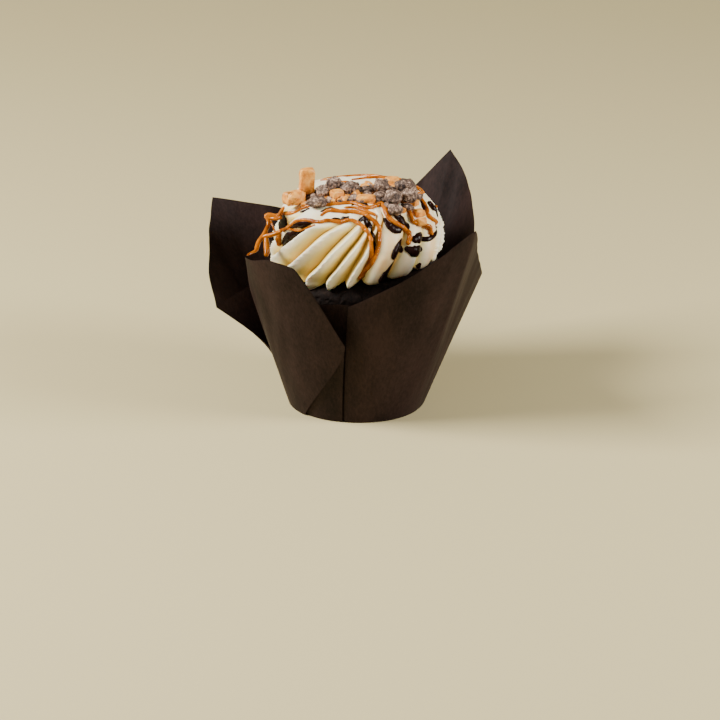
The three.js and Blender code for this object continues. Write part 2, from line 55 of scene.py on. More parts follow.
# %% [markdown]
# ## Small tools for curves
# Paper edges, the outline of the swirl and the routes of the drizzle are all smooth curves through a
# few chosen places. A curve with handles would need more numbers. The one used here runs through its
# places, so each row of a list is a spot that can be pointed at on the cupcake. Places are kept as
# azimuth, radius and height in millimetres, because nearly everything here goes round the middle.

# %% Curves and round places
def mix(a, b, t):
    return a + (b - a) * t


def wrapped(azimuth):
    """The same direction, from -180 to 180 degrees."""
    return (azimuth + 180) % 360 - 180


def eased(t):
    """0 up to t = 0, 1 from t = 1, and a soft slope between them."""
    t = min(max(t, 0.0), 1.0)
    return t * t * (3 - 2 * t)


def within(distance, half_width, power=4):
    """A soft window: 1 in its middle and nearly nothing past its half width."""
    return math.exp(-((distance / half_width) ** power))


def polar(azimuth, radius, height):
    turn = math.radians(azimuth)
    return Vector((radius * math.cos(turn), radius * math.sin(turn), height))


def along(rows, share):
    """A smooth curve through rows of numbers, at a share of the way from the first to the last."""
    last = len(rows) - 1
    place = min(max(share, 0.0), 1.0) * last
    i = min(int(place), last - 1)
    t = place - i
    before, start, end, after = rows[max(i - 1, 0)], rows[i], rows[i + 1], rows[min(i + 2, last)]
    return [
        0.5 * (2 * b + (c - a) * t + (2 * a - 5 * b + 4 * c - d) * t * t + (3 * b - a - 3 * c + d) * t**3)
        for a, b, c, d in zip(before, start, end, after)
    ]


# %% From a bmesh to a finished piece
def verts_in(geometry):
    return [part for part in geometry if isinstance(part, bmesh.types.BMVert)]


def put(name, data):
    """Puts a new object into the scene."""
    made = bpy.data.objects.new(name, data)
    bpy.context.collection.objects.link(made)
    return made


def object_from(bm, name, smooth=True):
    mesh = bpy.data.meshes.new(name)
    bm.to_mesh(mesh)
    bm.free()
    mesh.shade_smooth() if smooth else mesh.shade_flat()
    print(f"{name}: {len(mesh.polygons)} faces")
    return put(name, mesh)


def piece_from(bm, name, slot, *nodes, smooth=True):
    """Turns a bmesh into a finished piece that rides on the cupcake and stands for its solids."""
    piece = object_from(bm, name, smooth)
    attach(piece, BODY)
    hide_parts(*nodes)
    return piece


# %% [markdown]
# ## The paper case
# A tulip case is a square of paper pressed round a form. Its corners stand up as four petals, and the
# spare paper between them is folded away in box pleats: out to a fold, back under it, and across
# behind the gap. Cloth simulation could fold it, but the folds would land anywhere, so each layer is
# ruled instead: straight lines run from an arc of the round base to a stretch of the sheet's edge,
# which is how stiff paper really bends. The edge of each layer is a short list of places.

# %% Sizes of the case
BASE_RADIUS = 25.0
INNER_FOOT_RADIUS = 24.2
STRIP_FOOT_RADIUS = 24.55
WALL_FOOT = 0.25
LEFT_FOLD_HUG = 9.6
PAPER_THICKNESS = 0.2
FLOOR_THICKNESS = 0.3
FLOOR_SEGMENTS = 96
SHARP_FOLD = math.radians(50)
PETAL_GRID = (64, 44)  # faces across a layer and up it
UNDER_GRID = (12, 30)
INNER_GRID = (24, 30)
BUCKLE = (0.9, 0.07, 0.018)  # depth in millimetres, waves per degree and waves per millimetre of height
RIPPLE = (0.28, 0.22, 0.05)

# %% Layers of the case: azimuths of the foot, then azimuth, radius and height along the edge
PETALS = {
    "front_right": dict(
        foot=(-100.5, 0),
        edge=[
            (-94.2, 41.6, 57.3), (-85.9, 44.6, 61.1), (-71.5, 50.6, 68.9), (-57.5, 57.5, 79.1),
            (-50, 60.7, 85), (-44.3, 61.5, 87.3), (-30.9, 52.6, 76.8), (-13.2, 48.3, 64.9), (0.6, 48.5, 56.6),
        ],
        corner=5,
    ),
    "back_right": dict(
        foot=(4, 87),
        edge=[
            (5, 46.6, 60), (12.3, 47, 70.2), (23.6, 50, 75.2), (34.7, 54.4, 80.9), (43.5, 58.2, 87.3),
            (50.5, 59, 93.6), (56.9, 56.7, 86), (63.2, 53.8, 78.8), (75, 47.5, 66), (87, 44, 57),
        ],
        corner=5,
    ),
    "back_left": dict(
        foot=(93, 180),
        edge=[
            (93, 44, 56), (107, 49, 63), (120.9, 57.7, 67.9), (131.4, 66.7, 70.3), (142.1, 73.3, 73.9),
            (148.4, 68.7, 64.9), (156.8, 63.4, 58), (171.9, 57.1, 49.2), (181.1, 54.2, 43.3),
        ],
        corner=4,
        hug=(0, LEFT_FOLD_HUG),
    ),
    "front_left": dict(
        foot=(182, 213),
        edge=[
            (184, 39.6, 47), (200, 44, 60), (209.9, 48.2, 71.1), (218.6, 49.7, 72), (228.7, 50.6, 74.5),
            (235.6, 51.5, 74.8), (240.8, 51.6, 74.3), (245, 51.3, 72.3), (253.6, 47.4, 59.1),
            (258.9, 44.6, 49.9), (264.3, 42.2, 41.8),
        ],
        corner=2,
        bend=1.6,
    ),
}
UNDER_LAYERS = [
    dict(foot=(-100.5, -78), edge=[(-94.2, 41.6, 57.3), (-72, 38.8, 56)]),
    dict(foot=(0, -14), edge=[(0.6, 48.5, 56.6), (-18, 39, 54)]),
    dict(foot=(4, 18), edge=[(5, 46.6, 60), (24, 39, 55)]),
    dict(foot=(87, 70), edge=[(87, 44, 57), (68, 39, 55)]),
    dict(foot=(93, 110), edge=[(93, 44, 56), (112, 39, 55)]),
    dict(foot=(180, 164), edge=[(181.1, 54.2, 43.3), (160, 38.6, 50)], hug=(LEFT_FOLD_HUG, 0)),
    dict(foot=(182, 198), edge=[(184, 39.6, 47), (202, 38.2, 50)]),
]
INNER_LAYERS = [
    dict(foot=(-130, -78), edge=[(-123, 38.2, 55), (-98, 38.6, 57), (-72, 38.8, 56)]),
    dict(foot=(-141, -102.5), foot_radius=STRIP_FOOT_RADIUS, edge=[(-128, 38.6, 41), (-96.6, 38.4, 38.8)]),
    dict(foot=(-14, 18), edge=[(-18, 39, 54), (3, 39, 57), (24, 39, 55)]),
    dict(foot=(70, 110), edge=[(68, 39, 55), (90, 39, 58), (112, 39, 55)]),
    dict(foot=(164, 198), edge=[(160, 38.6, 50), (181, 38.4, 52), (202, 38.2, 50)]),
]

# %% Where a point of a paper layer lies
def edge_place(layer, share):
    """A place on the sheet's edge. The square corner stays sharp, halfway across a petal's grid."""
    edge, corner = layer["edge"], layer.get("corner")
    if not corner:
        return along(edge, share), share
    middle = corner / (len(edge) - 1)
    if share <= 0.5:
        return along(edge[: corner + 1], share * 2), middle * share * 2
    return along(edge[corner:], share * 2 - 1), mix(middle, 1, share * 2 - 1)


def sheet_wave(azimuth, height, wave, seed):
    depth, per_degree, per_millimetre = wave
    return depth * noise.noise(Vector((azimuth * per_degree, height * per_millimetre, seed)))


def paper_place(layer, across, up, seed):
    """A place on a layer, from 0 to 1 across it and up it."""
    (top_azimuth, top_radius, top_height), f = edge_place(layer, across)
    foot_from, foot_to = layer["foot"]
    foot_radius = layer.get("foot_radius", BASE_RADIUS)
    azimuth = mix(foot_from, foot_to, f)
    radius = mix(foot_radius, layer.get("foot_end", foot_radius), f)
    hug_from, hug_to = layer.get("hug", (0, 0))
    hug = hug_from * (1 - f) ** 2 + hug_to * f**3
    swing = top_azimuth + (azimuth - top_azimuth) * (1 - up) ** mix(1, layer.get("bend", 1), f)
    reach = mix(radius, top_radius, up) - hug * math.sin(math.pi * up)
    height = mix(WALL_FOOT, top_height, up)
    # Stiff paper still buckles a little between its folds, more the freer it stands.
    free = eased(up / 0.5) * eased(across / 0.12) * eased((1 - across) / 0.12)
    waves = sheet_wave(azimuth, height, BUCKLE, seed) + sheet_wave(azimuth, height, RIPPLE, seed + 7)
    return polar(swing, reach + free * waves, height)


# %% Fold the sheet
def add_layer(case, layer, grid, seed):
    """Lays a flat grid along one layer, gives it its thickness and adds it to the case."""
    sheet = bmesh.new()
    bmesh.ops.create_grid(sheet, x_segments=grid[0], y_segments=grid[1], size=0.5)
    for vert in sheet.verts:
        vert.co = paper_place(layer, vert.co.x + 0.5, vert.co.y + 0.5, seed) * MM
    bmesh.ops.solidify(sheet, geom=sheet.faces[:], thickness=PAPER_THICKNESS * MM)
    made = bpy.data.meshes.new("layer")
    sheet.to_mesh(made)
    sheet.free()
    case.from_mesh(made)
    bpy.data.meshes.remove(made)


case = bmesh.new()
for seed, layer in enumerate(PETALS.values()):
    add_layer(case, layer, PETAL_GRID, seed * 3.1)
for seed, layer in enumerate(UNDER_LAYERS):
    add_layer(case, {**layer, "foot_end": INNER_FOOT_RADIUS}, UNDER_GRID, 20 + seed)
for seed, layer in enumerate(INNER_LAYERS):
    add_layer(case, {"foot_radius": INNER_FOOT_RADIUS, **layer}, INNER_GRID, 40 + seed)

# %% Close the base and sharpen the folds
disc = bmesh.ops.create_circle(case, cap_ends=True, radius=BASE_RADIUS * MM, segments=FLOOR_SEGMENTS)
disc_verts = set(disc["verts"])
disc_faces = [face for face in case.faces if disc_verts.issuperset(face.verts)]
raised = bmesh.ops.extrude_face_region(case, geom=disc_faces)
bmesh.ops.translate(case, verts=verts_in(raised["geom"]), vec=(0, 0, FLOOR_THICKNESS * MM))
for edge in case.edges:
    if len(edge.link_faces) == 2 and edge.calc_face_angle() > SHARP_FOLD:
        edge.smooth = False
paper = piece_from(case, "tulip_paper", "paper", "paper_case")

# %% [markdown]
# ## The cake
# Only the rim of the cake shows, between the frosting and the paper, but it is made whole: a profile
# spun round the middle, swollen towards the petals where the batter filled them, and lifted at the
# right as the crumb rose unevenly. Its crumb is real relief, fine noise with small open holes, because
# a bump map alone would leave the outline of the rim smooth.

# %% Sizes of the cake
PETAL_SWELL = 2.2
RIM_RADIUS = 34
RIM_HEIGHT = 60
SWIRL_TILT = 0.15
LIFT_FROM = 50
LIFT_RATE = 0.066
CAKE_FOOT = [(0.2, 0.95)]  # radius and height, as in the next lists
CAKE_HIDDEN_SIDE = [(22.2, 0.95), (22.9, 1.8), (25.6, 16), (28.4, 30)]
CAKE_RIM = [
    (28.4, 30), (31.2, 43), (33.2, 52), (33.8, 55.6), (33.3, 58.4), (32, 60.7), (29, 62.1), (22, 63.1),
]
CAKE_TOP = [(14, 63.7), (6, 64), (0.2, 64.05)]
HIDDEN_ROWS = 9
RIM_ROWS = 45
CAKE_STEPS = 420
COARSE_GRAIN = (0.35, 0.45)  # depth in millimetres and bumps per millimetre
FINE_GRAIN = (0.22, 1.3)
HOLES_PER_MM = 0.62
HOLE_REACH = 0.38
HOLE_DEPTH = 0.6


# %% Where a point of the cake lies
def cake_place(azimuth, radius, height):
    """The spun shape swells towards the four petals and lifts at the right, over its upper part."""
    share = min(radius / RIM_RADIUS, 1)
    lobe = PETAL_SWELL * math.cos(math.radians(4 * azimuth + 180)) * (height / RIM_HEIGHT) ** 2 * share**3
    climb = SWIRL_TILT * max(height - LIFT_FROM, 0) * LIFT_RATE
    spot = polar(azimuth, radius + lobe, 0)
    return Vector((spot.x, spot.y, height + climb * spot.x))


def crumb_depth(spot):
    """Crumb relief in millimetres: a coarse grain, a fine grain and open holes."""
    grain = COARSE_GRAIN[0] * noise.noise(spot * COARSE_GRAIN[1])
    grain += FINE_GRAIN[0] * noise.noise(spot * FINE_GRAIN[1] + Vector((9, 0, 0)))
    distance = noise.voronoi(spot * HOLES_PER_MM)[0][0]
    return grain - HOLE_DEPTH * max(0.0, HOLE_REACH - distance) / HOLE_REACH


# %% Spin the cake and roughen its crumb
outline = CAKE_FOOT + [along(CAKE_HIDDEN_SIDE, i / HIDDEN_ROWS) for i in range(HIDDEN_ROWS + 1)]
outline += [along(CAKE_RIM, i / RIM_ROWS) for i in range(1, RIM_ROWS + 1)] + CAKE_TOP
cake = bmesh.new()
half_section = [cake.verts.new((radius * MM, 0, height * MM)) for radius, height in outline]
for a, b in zip(half_section, half_section[1:]):
    cake.edges.new((a, b))
bmesh.ops.spin(
    cake, geom=cake.verts[:] + cake.edges[:], cent=(0, 0, 0), axis=(0, 0, 1),
    angle=math.tau, steps=CAKE_STEPS, use_merge=True, use_normal_flip=False,
)
bmesh.ops.remove_doubles(cake, verts=cake.verts[:], dist=0.004 * MM)
bmesh.ops.holes_fill(cake, edges=cake.edges[:], sides=0)
bmesh.ops.recalc_face_normals(cake, faces=cake.faces[:])
for vert in cake.verts:
    radius = math.hypot(vert.co.x, vert.co.y) / MM
    azimuth = math.degrees(math.atan2(vert.co.y, vert.co.x))
    place = cake_place(azimuth, radius, vert.co.z / MM)
    outward = Vector((place.x, place.y, max(0.0, place.z - 56) * 4)).normalized()
    shows = eased((place.z - 40) / 8) * eased(radius / 8)
    vert.co = (place + outward * (crumb_depth(place) - 0.1) * shows) * MM
cake_piece = piece_from(cake, "chocolate_cake", "cake", "cake")

# %% [markdown]
# ## The piped swirl
# An open star tip leaves a rope of frosting with sharp ridges, and turning the bag twists them. Each
# ridge overlaps the next like a roof tile: a long round face, then a steep step up to a thin crest. At
# the front right the strokes are wider and make soft lobes. Sculpting would give ridges too, but not in
# chosen places. Here one direction of a grid follows the ridges and the other goes up the outline, so
# every crest runs along a line of vertices and stays crisp. The crests that can be seen are given as
# azimuths at five heights, and the rest are spread evenly round the back.

# %% Sizes of the swirl
RIDGES = 20
CREST_FOOT = 63.0
CREST_TOP = 87.0
CREST_LINES = [
    (-172, -156.5, -141.5, -127.5, -113),
    (-146, -133, -122, -110.5, -93),
    (-122, -112.5, -104, -93.5, -82),
    (-107.5, -100, -92, -83, -75),
    (-94, -89, -82.5, -77.5, -70),
    (-83, -80, -75, -72, -64),
    (-67, -62, -56, -50, -45),
    (-46, -42, -38, -32, -24),
]
LOBES = (5, 6, 7)
VALLEY = 15 / 18  # how far across a ridge its valley lies
VALLEY_DEPTH = 2.7  # in half depths of the ridges, as for the lobes
FACE_POWER = 1.3
LOBE_VALLEY = 17 / 18
LOBE_DEPTH = 1.8
LOBE_MIDDLE = 0.42
LOBE_HALF_WIDTH = 0.52
LOBE_POWER = 2.4
SWIRL_CENTRE_X = -0.9
SWIRL_OUTLINE = [  # radius, height and half depth of the ridges, up to the middle of the top
    (31.0, 62.9, 0.6), (32.2, 63.6, 1.3), (32.6, 66.2, 1.7), (32.8, 70, 1.8), (32.5, 74.2, 1.7),
    (31.6, 77.8, 1.5), (30.1, 81.8, 1.1), (27.9, 85.4, 0.6), (24.6, 88.4, 0.3), (18, 90.1, 0.2),
    (10, 90.7, 0.1), (0, 90.8, 0),
]
GREATEST_HALF_DEPTH = max(half_depth for _, _, half_depth in SWIRL_OUTLINE)


# %% Crests, valleys and lobes
@functools.cache
def crest_azimuth(index, height):
    """Azimuth of a crest at a height, counted from the first listed one and on round the swirl."""
    turns, index = divmod(index, RIDGES)
    climb = (height - CREST_FOOT) / (CREST_TOP - CREST_FOOT)
    seen = len(CREST_LINES)
    if index < seen:
        return 360 * turns + along([(a,) for a in CREST_LINES[index]], climb)[0]
    last, first = crest_azimuth(seen - 1, height), crest_azimuth(0, height) + 360
    return 360 * turns + mix(last, first, (index - seen + 1) / (RIDGES - seen + 1))


def ridge_azimuth(phase, height):
    index = math.floor(phase)
    return mix(crest_azimuth(index, height), crest_azimuth(index + 1, height), phase - index)


def phase_at(azimuth, height):
    """How many ridges from the first crest an azimuth is, with the share of the last one."""
    height = round(height, 1)
    crests = [crest_azimuth(i, height) for i in range(RIDGES + 1)]
    azimuth = crests[0] + (azimuth - crests[0]) % 360
    for i in range(RIDGES):
        if azimuth <= crests[i + 1]:
            return i + (azimuth - crests[i]) / (crests[i + 1] - crests[i])
    return RIDGES


def lobe_relief(place):
    """A wide lobe is round: 1 along its middle and lower towards both edges."""
    return 1 - LOBE_DEPTH * abs((place - LOBE_MIDDLE) / LOBE_HALF_WIDTH) ** LOBE_POWER


def ridge_relief(phase):
    """1 on a crest and less than -1 in a valley: a long round face, then a steep step to the next crest."""
    index, place = divmod(phase % RIDGES, 1)
    lobe = index in LOBES
    valley = LOBE_VALLEY if lobe else VALLEY
    reach = min(place, valley)
    relief = lobe_relief(reach) if lobe else 1 - VALLEY_DEPTH * (reach / valley) ** FACE_POWER
    if place > valley:
        step = 1 - ((1 - place) / (1 - valley)) ** FACE_POWER
        relief = mix(relief, lobe_relief(0) if index + 1 in LOBES else 1, step)
    return relief


# %% Where a point of the swirl lies
FOOT_SAG = 1.1
FOOT_SHARE = 0.16


def upper_stroke(azimuth, height, proud=1.5, middle=-150, half_width=48, level=84.2, half_height=2.2):
    """The last stroke ends as a band that stands proud of the ridges at the front left."""
    return proud * within(wrapped(azimuth - middle), half_width) * within(height - level, half_height, 2)


def left_hollow(azimuth, share, depth=3.0, middle=186, half_width=34, at_foot=0.35, full_from=0.45):
    """At the left the frosting was piped further in, less so at its foot and not on its top."""
    reach = within(wrapped(azimuth - middle), half_width) * mix(at_foot, 1, eased(share / full_from))
    return depth * reach * eased(4 - 4 * share)


def swirl_height(azimuth, share):
    radius, height, _ = along(SWIRL_OUTLINE, share)
    return height + SWIRL_TILT * radius * math.cos(math.radians(azimuth)) * (1 - share) ** 1.5


def swirl_place(azimuth, share, relief):
    """A point of the skin; crests hang lower than valleys at the foot."""
    radius, _, half_depth = along(SWIRL_OUTLINE, share)
    height = swirl_height(azimuth, share)
    radius += half_depth * relief + upper_stroke(azimuth, height) - left_hollow(azimuth, share)
    spot = polar(azimuth, radius, height)
    spot.z -= FOOT_SAG * (relief + 0.4) * eased(1 - share / FOOT_SHARE)
    spot.x += SWIRL_CENTRE_X
    return spot


def swirl_outward(azimuth, share):
    """The direction square to the swirl's outline."""
    low, high = along(SWIRL_OUTLINE, max(share - 0.02, 0)), along(SWIRL_OUTLINE, min(share + 0.02, 1))
    rise, run = high[1] - low[1], high[0] - low[0]
    return polar(azimuth, rise, -run).normalized()


# %% The skin of the frosting
SOFT_WAVES = ((0.3, 0.14), (0.1, 0.5))  # depth in millimetres and waves per millimetre
STREAK_DEPTH = 0.16
STREAKS_PER_RIDGE = 4
TORN_DEPTH = 0.55
TORN_FROM = 0.62


def swirl_skin(azimuth, share, phase):
    """A point of the frosting's skin: softly uneven, streaked along its ridges and torn at sharp crests."""
    relief = ridge_relief(phase)
    spot = swirl_place(azimuth, share, relief)
    rough = sum(depth * noise.noise(spot * scale) for depth, scale in SOFT_WAVES)
    rough += STREAK_DEPTH * noise.noise(Vector((phase % RIDGES * STREAKS_PER_RIDGE, share * 2.5, 3)))
    if math.floor(phase) % RIDGES not in LOBES:
        sharpness = along(SWIRL_OUTLINE, share)[2] / GREATEST_HALF_DEPTH
        torn = max(0.0, relief - TORN_FROM) / (1 - TORN_FROM) * sharpness
        rough += TORN_DEPTH * torn * (noise.noise(spot * 1.1) + 0.7 * noise.noise(spot * 2.6))
    return spot + swirl_outward(azimuth, share) * rough * eased(1.4 - share)


def swirl_frame(azimuth, share):
    """Mean surface point, outward direction and height of the skin over that point, in millimetres."""
    mean, outward = swirl_place(azimuth, share, 0), swirl_outward(azimuth, share)
    skin = swirl_skin(azimuth, share, phase_at(azimuth, swirl_height(azimuth, share)))
    return mean, outward, (skin - mean).dot(outward)


# %% Pipe the frosting
ACROSS_RIDGE = 18
UP_SWIRL = 150
UNDER_RINGS = 8
UNDERSIDE = 65.0
# Where caramel soaked into the frosting, and where its warm reflected light is painted on the frosting.
CARAMEL_STAIN_AND_REFLECTION = dict(azimuth=-50, half_width=34, share=0.36, half_share=0.36)  # where caramel tinted the frosting

swirl = bmesh.new()
around = RIDGES * ACROSS_RIDGE
valley_shade_layer = swirl.verts.layers.float.new("hollow")
stain_and_reflection_layer = swirl.verts.layers.float.new("caramel_stain_and_reflection")
bmesh.ops.create_grid(swirl, x_segments=around, y_segments=UP_SWIRL + UNDER_RINGS, size=0.5)
for vert in swirl.verts:
    column = round((vert.co.x + 0.5) * around) % around
    row = round((vert.co.y + 0.5) * (UP_SWIRL + UNDER_RINGS)) - UNDER_RINGS
    phase = column / ACROSS_RIDGE
    share = max(row, 0) / UP_SWIRL
    height = along(SWIRL_OUTLINE, share)[1]
    for _ in range(4):  # the swirl leans, so a ridge's azimuth and its height settle each other
        azimuth = ridge_azimuth(phase, round(height, 1))
        height = swirl_height(azimuth, share)
    spot = swirl_skin(azimuth, share, phase)
    # How deep into a valley a point lies; the finish turns it into painted shade, and its crests into a
    # painted highlight.
    hollow = (1 - ridge_relief(phase)) / VALLEY_DEPTH
    vert[valley_shade_layer] = hollow * eased(along(SWIRL_OUTLINE, share)[2] / 1.2)
    # Partly caramel that soaked in, partly a painted reflection of the caramel's warm light.
    stain_and_reflection_share = within(wrapped(azimuth - CARAMEL_STAIN_AND_REFLECTION["azimuth"]), CARAMEL_STAIN_AND_REFLECTION["half_width"])
    stain_and_reflection_share *= within(share - CARAMEL_STAIN_AND_REFLECTION["share"], CARAMEL_STAIN_AND_REFLECTION["half_share"]) * eased(phase % 1 / 0.35)
    vert[stain_and_reflection_layer] = stain_and_reflection_share * (0.7 + 0.9 * noise.noise(spot * 0.12))
    if row < 0:
        inward = 1 + row / UNDER_RINGS
        spot = Vector((spot.x * inward, spot.y * inward, mix(UNDERSIDE, spot.z, inward**6)))
    vert.co = spot * MM
bmesh.ops.remove_doubles(swirl, verts=swirl.verts[:], dist=0.002 * MM)
bmesh.ops.recalc_face_normals(swirl, faces=swirl.faces[:])
swirl_piece = piece_from(swirl, "frosting_swirl", "frosting", "frosting")

# %% [markdown]
# ## Caramel and chocolate drizzle
# Caramel lands on the crests and spans the valleys between them, so a strand is a tube along a route
# that follows the swirl but is smoothed over the ridges. A Blender curve with a round bevel makes it.
# Each point has its own radius, which lets a strand swell where the spoon slowed and close in a round
# tip at its ends. The curve is then made a mesh, so that its material can read Object coordinates.
# Chocolate sauce was thinner, and lies on the frosting as flat drops and dashes. They start as tubes
# too, and are then moulded: a ray finds the frosting below each vertex, and the tube's outer half swells
# from that skin.

# %% Routes of the drizzle: azimuth, share of the way up the swirl, and half width in millimetres
CARAMEL = [
    [
        (-154, 0.49, 0.6), (-152, 0.497, 0.7), (-145, 0.547, 0.65), (-137.4, 0.605, 0.65),
        (-131.2, 0.635, 0.7), (-124.7, 0.647, 0.75), (-116, 0.642, 0.7), (-110, 0.66, 0.7),
        (-100.3, 0.655, 0.75), (-91.8, 0.665, 0.75), (-85.4, 0.627, 0.75), (-81, 0.57, 0.75),
        (-78.7, 0.507, 0.75), (-78.8, 0.45, 0.75), (-78.3, 0.335, 0.8), (-80.3, 0.278, 0.85),
        (-83.5, 0.203, 0.95), (-86, 0.158, 0.9),
    ],
    [(-152.2, 0.5, 0.4), (-145, 0.522, 0.4), (-138.7, 0.535, 0.45), (-129.8, 0.56, 0.4), (-119.8, 0.61, 0.3)],
    [
        (-117.8, 0.703, 0.5), (-113, 0.735, 0.8), (-102.7, 0.743, 0.85), (-91.2, 0.74, 0.85),
        (-83, 0.723, 0.8), (-76.8, 0.672, 0.8), (-73, 0.618, 0.8), (-71.3, 0.552, 0.8), (-72.2, 0.5, 0.8),
        (-73.6, 0.425, 0.8), (-75.5, 0.352, 0.85), (-77.9, 0.3, 0.85), (-81, 0.237, 0.95),
        (-84.6, 0.158, 1.0),
    ],
    [
        (-162, 0.6, 0.8), (-155.4, 0.625, 0.7), (-148.3, 0.655, 0.6), (-144.4, 0.69, 0.6), (-141, 0.72, 0.7),
        (-132.8, 0.755, 0.7), (-122.7, 0.782, 0.7), (-111.2, 0.802, 0.7), (-99.6, 0.82, 0.7),
        (-89.8, 0.818, 0.75), (-81.5, 0.787, 0.8), (-75.3, 0.765, 0.8), (-66.7, 0.777, 0.85),
        (-60.2, 0.79, 0.9), (-60.5, 0.752, 0.9), (-62.3, 0.708, 0.9), (-61.5, 0.64, 0.9),
        (-56.7, 0.575, 0.9), (-52.2, 0.532, 0.9), (-49.8, 0.497, 0.9), (-50, 0.455, 0.9),
        (-51.9, 0.407, 0.95),
    ],
    [(-98.2, 0.78, 0.5), (-87.8, 0.775, 0.6), (-79, 0.738, 0.65), (-73, 0.7, 0.6)],
    [(-60.3, 0.718, 0.7), (-55.6, 0.693, 0.8), (-48.5, 0.69, 0.8), (-42, 0.708, 0.7)],
    [
        (-37.4, 0.752, 0.7), (-40, 0.685, 0.85), (-42.4, 0.62, 0.85), (-43, 0.56, 0.85), (-34, 0.515, 0.85),
        (-32, 0.5, 0.9), (-29.4, 0.458, 1.0), (-30.2, 0.412, 0.9),
    ],
    [
        (-10, 0.72, 0.7), (-15.8, 0.68, 0.75), (-19.4, 0.625, 0.8), (-23.8, 0.57, 0.75), (-23.2, 0.525, 0.8),
        (-16, 0.453, 0.7),
    ],
    [(-158, 0.47, 0.9), (-159, 0.42, 1.2), (-160, 0.37, 1.0)],
    [
        (150, 0.52, 0.5), (132, 0.62, 0.6), (110, 0.7, 0.6), (88, 0.72, 0.65), (60, 0.76, 0.6),
        (36, 0.7, 0.6), (16, 0.66, 0.5),
    ],
    [
        (158, 0.64, 0.5), (120, 0.46, 0.6), (96, 0.52, 0.7), (74, 0.38, 0.8), (52, 0.52, 0.6),
        (28, 0.44, 0.7), (6, 0.52, 0.6),
    ],
]

# %% Routes on the flat of the top (x, y, half width) and in the air at the left (x, y, z, half width)
TOP_CARAMEL = [
    [
        (-14, 14, 0.35), (-9, 11.5, 0.5), (-5.7, 8.6, 0.6), (-3.2, 7.9, 0.65), (-1.1, 3.3, 0.65),
        (1.7, -2, 0.6), (2, -9, 0.5),
    ],
    [(3.8, 3.3, 0.45), (6.6, 3.3, 0.55), (11, 1.5, 0.5)],
    [
        (-2, 12.5, 0.4), (4.5, 14.9, 0.6), (8.2, 16.2, 0.65), (12.2, 16.3, 0.65), (17, 14, 0.6),
        (21, 8.6, 0.55), (22.2, 2.8, 0.6), (23, -0.7, 0.65), (24.6, 0.4, 0.6), (24.9, 4.5, 0.5),
        (21, 12, 0.4),
    ],
]
HANGING_CARAMEL = [
    [
        (-27.1, -12, 87.4, 0.6), (-28.3, -11, 85.1, 0.7), (-29.1, -10, 83.2, 0.9), (-30.8, -9.5, 82.7, 0.9),
        (-32.7, -9, 82.9, 1.0), (-34.1, -9, 82.6, 0.95), (-33.3, -9.5, 81.4, 0.9), (-33.3, -10.5, 79.8, 0.8),
        (-34, -12, 78.3, 0.8), (-34.9, -14, 76.8, 0.9), (-35.8, -15, 75.7, 0.95), (-36.9, -16.5, 74.6, 0.85),
        (-37.4, -18.5, 73.3, 0.9), (-37.8, -20, 72.4, 0.7), (-39.2, -22, 72.2, 0.5), (-41.2, -24, 71.7, 0.4),
    ],
    [(-34, -9.2, 82, 0.7), (-31.6, -10, 82, 0.8), (-29.6, -11.5, 82.5, 0.8), (-28.4, -13, 83.4, 0.7)],
    [(-32.5, -10, 81.3, 0.4), (-31.7, -11.5, 79.6, 0.35), (-30.7, -14, 78, 0.4)],
    [
        (-35.8, -15, 75.9, 0.7), (-34.1, -15.5, 76.7, 0.85), (-32.2, -16, 77.2, 0.9),
        (-30.3, -16.4, 78, 0.85), (-28, -17.5, 79.4, 0.8),
    ],
    [(-34.1, -15.5, 76.5, 0.9), (-33.9, -17, 74, 1.1), (-33.7, -18.5, 71.7, 1.15), (-34.1, -20, 70, 0.8)],
]

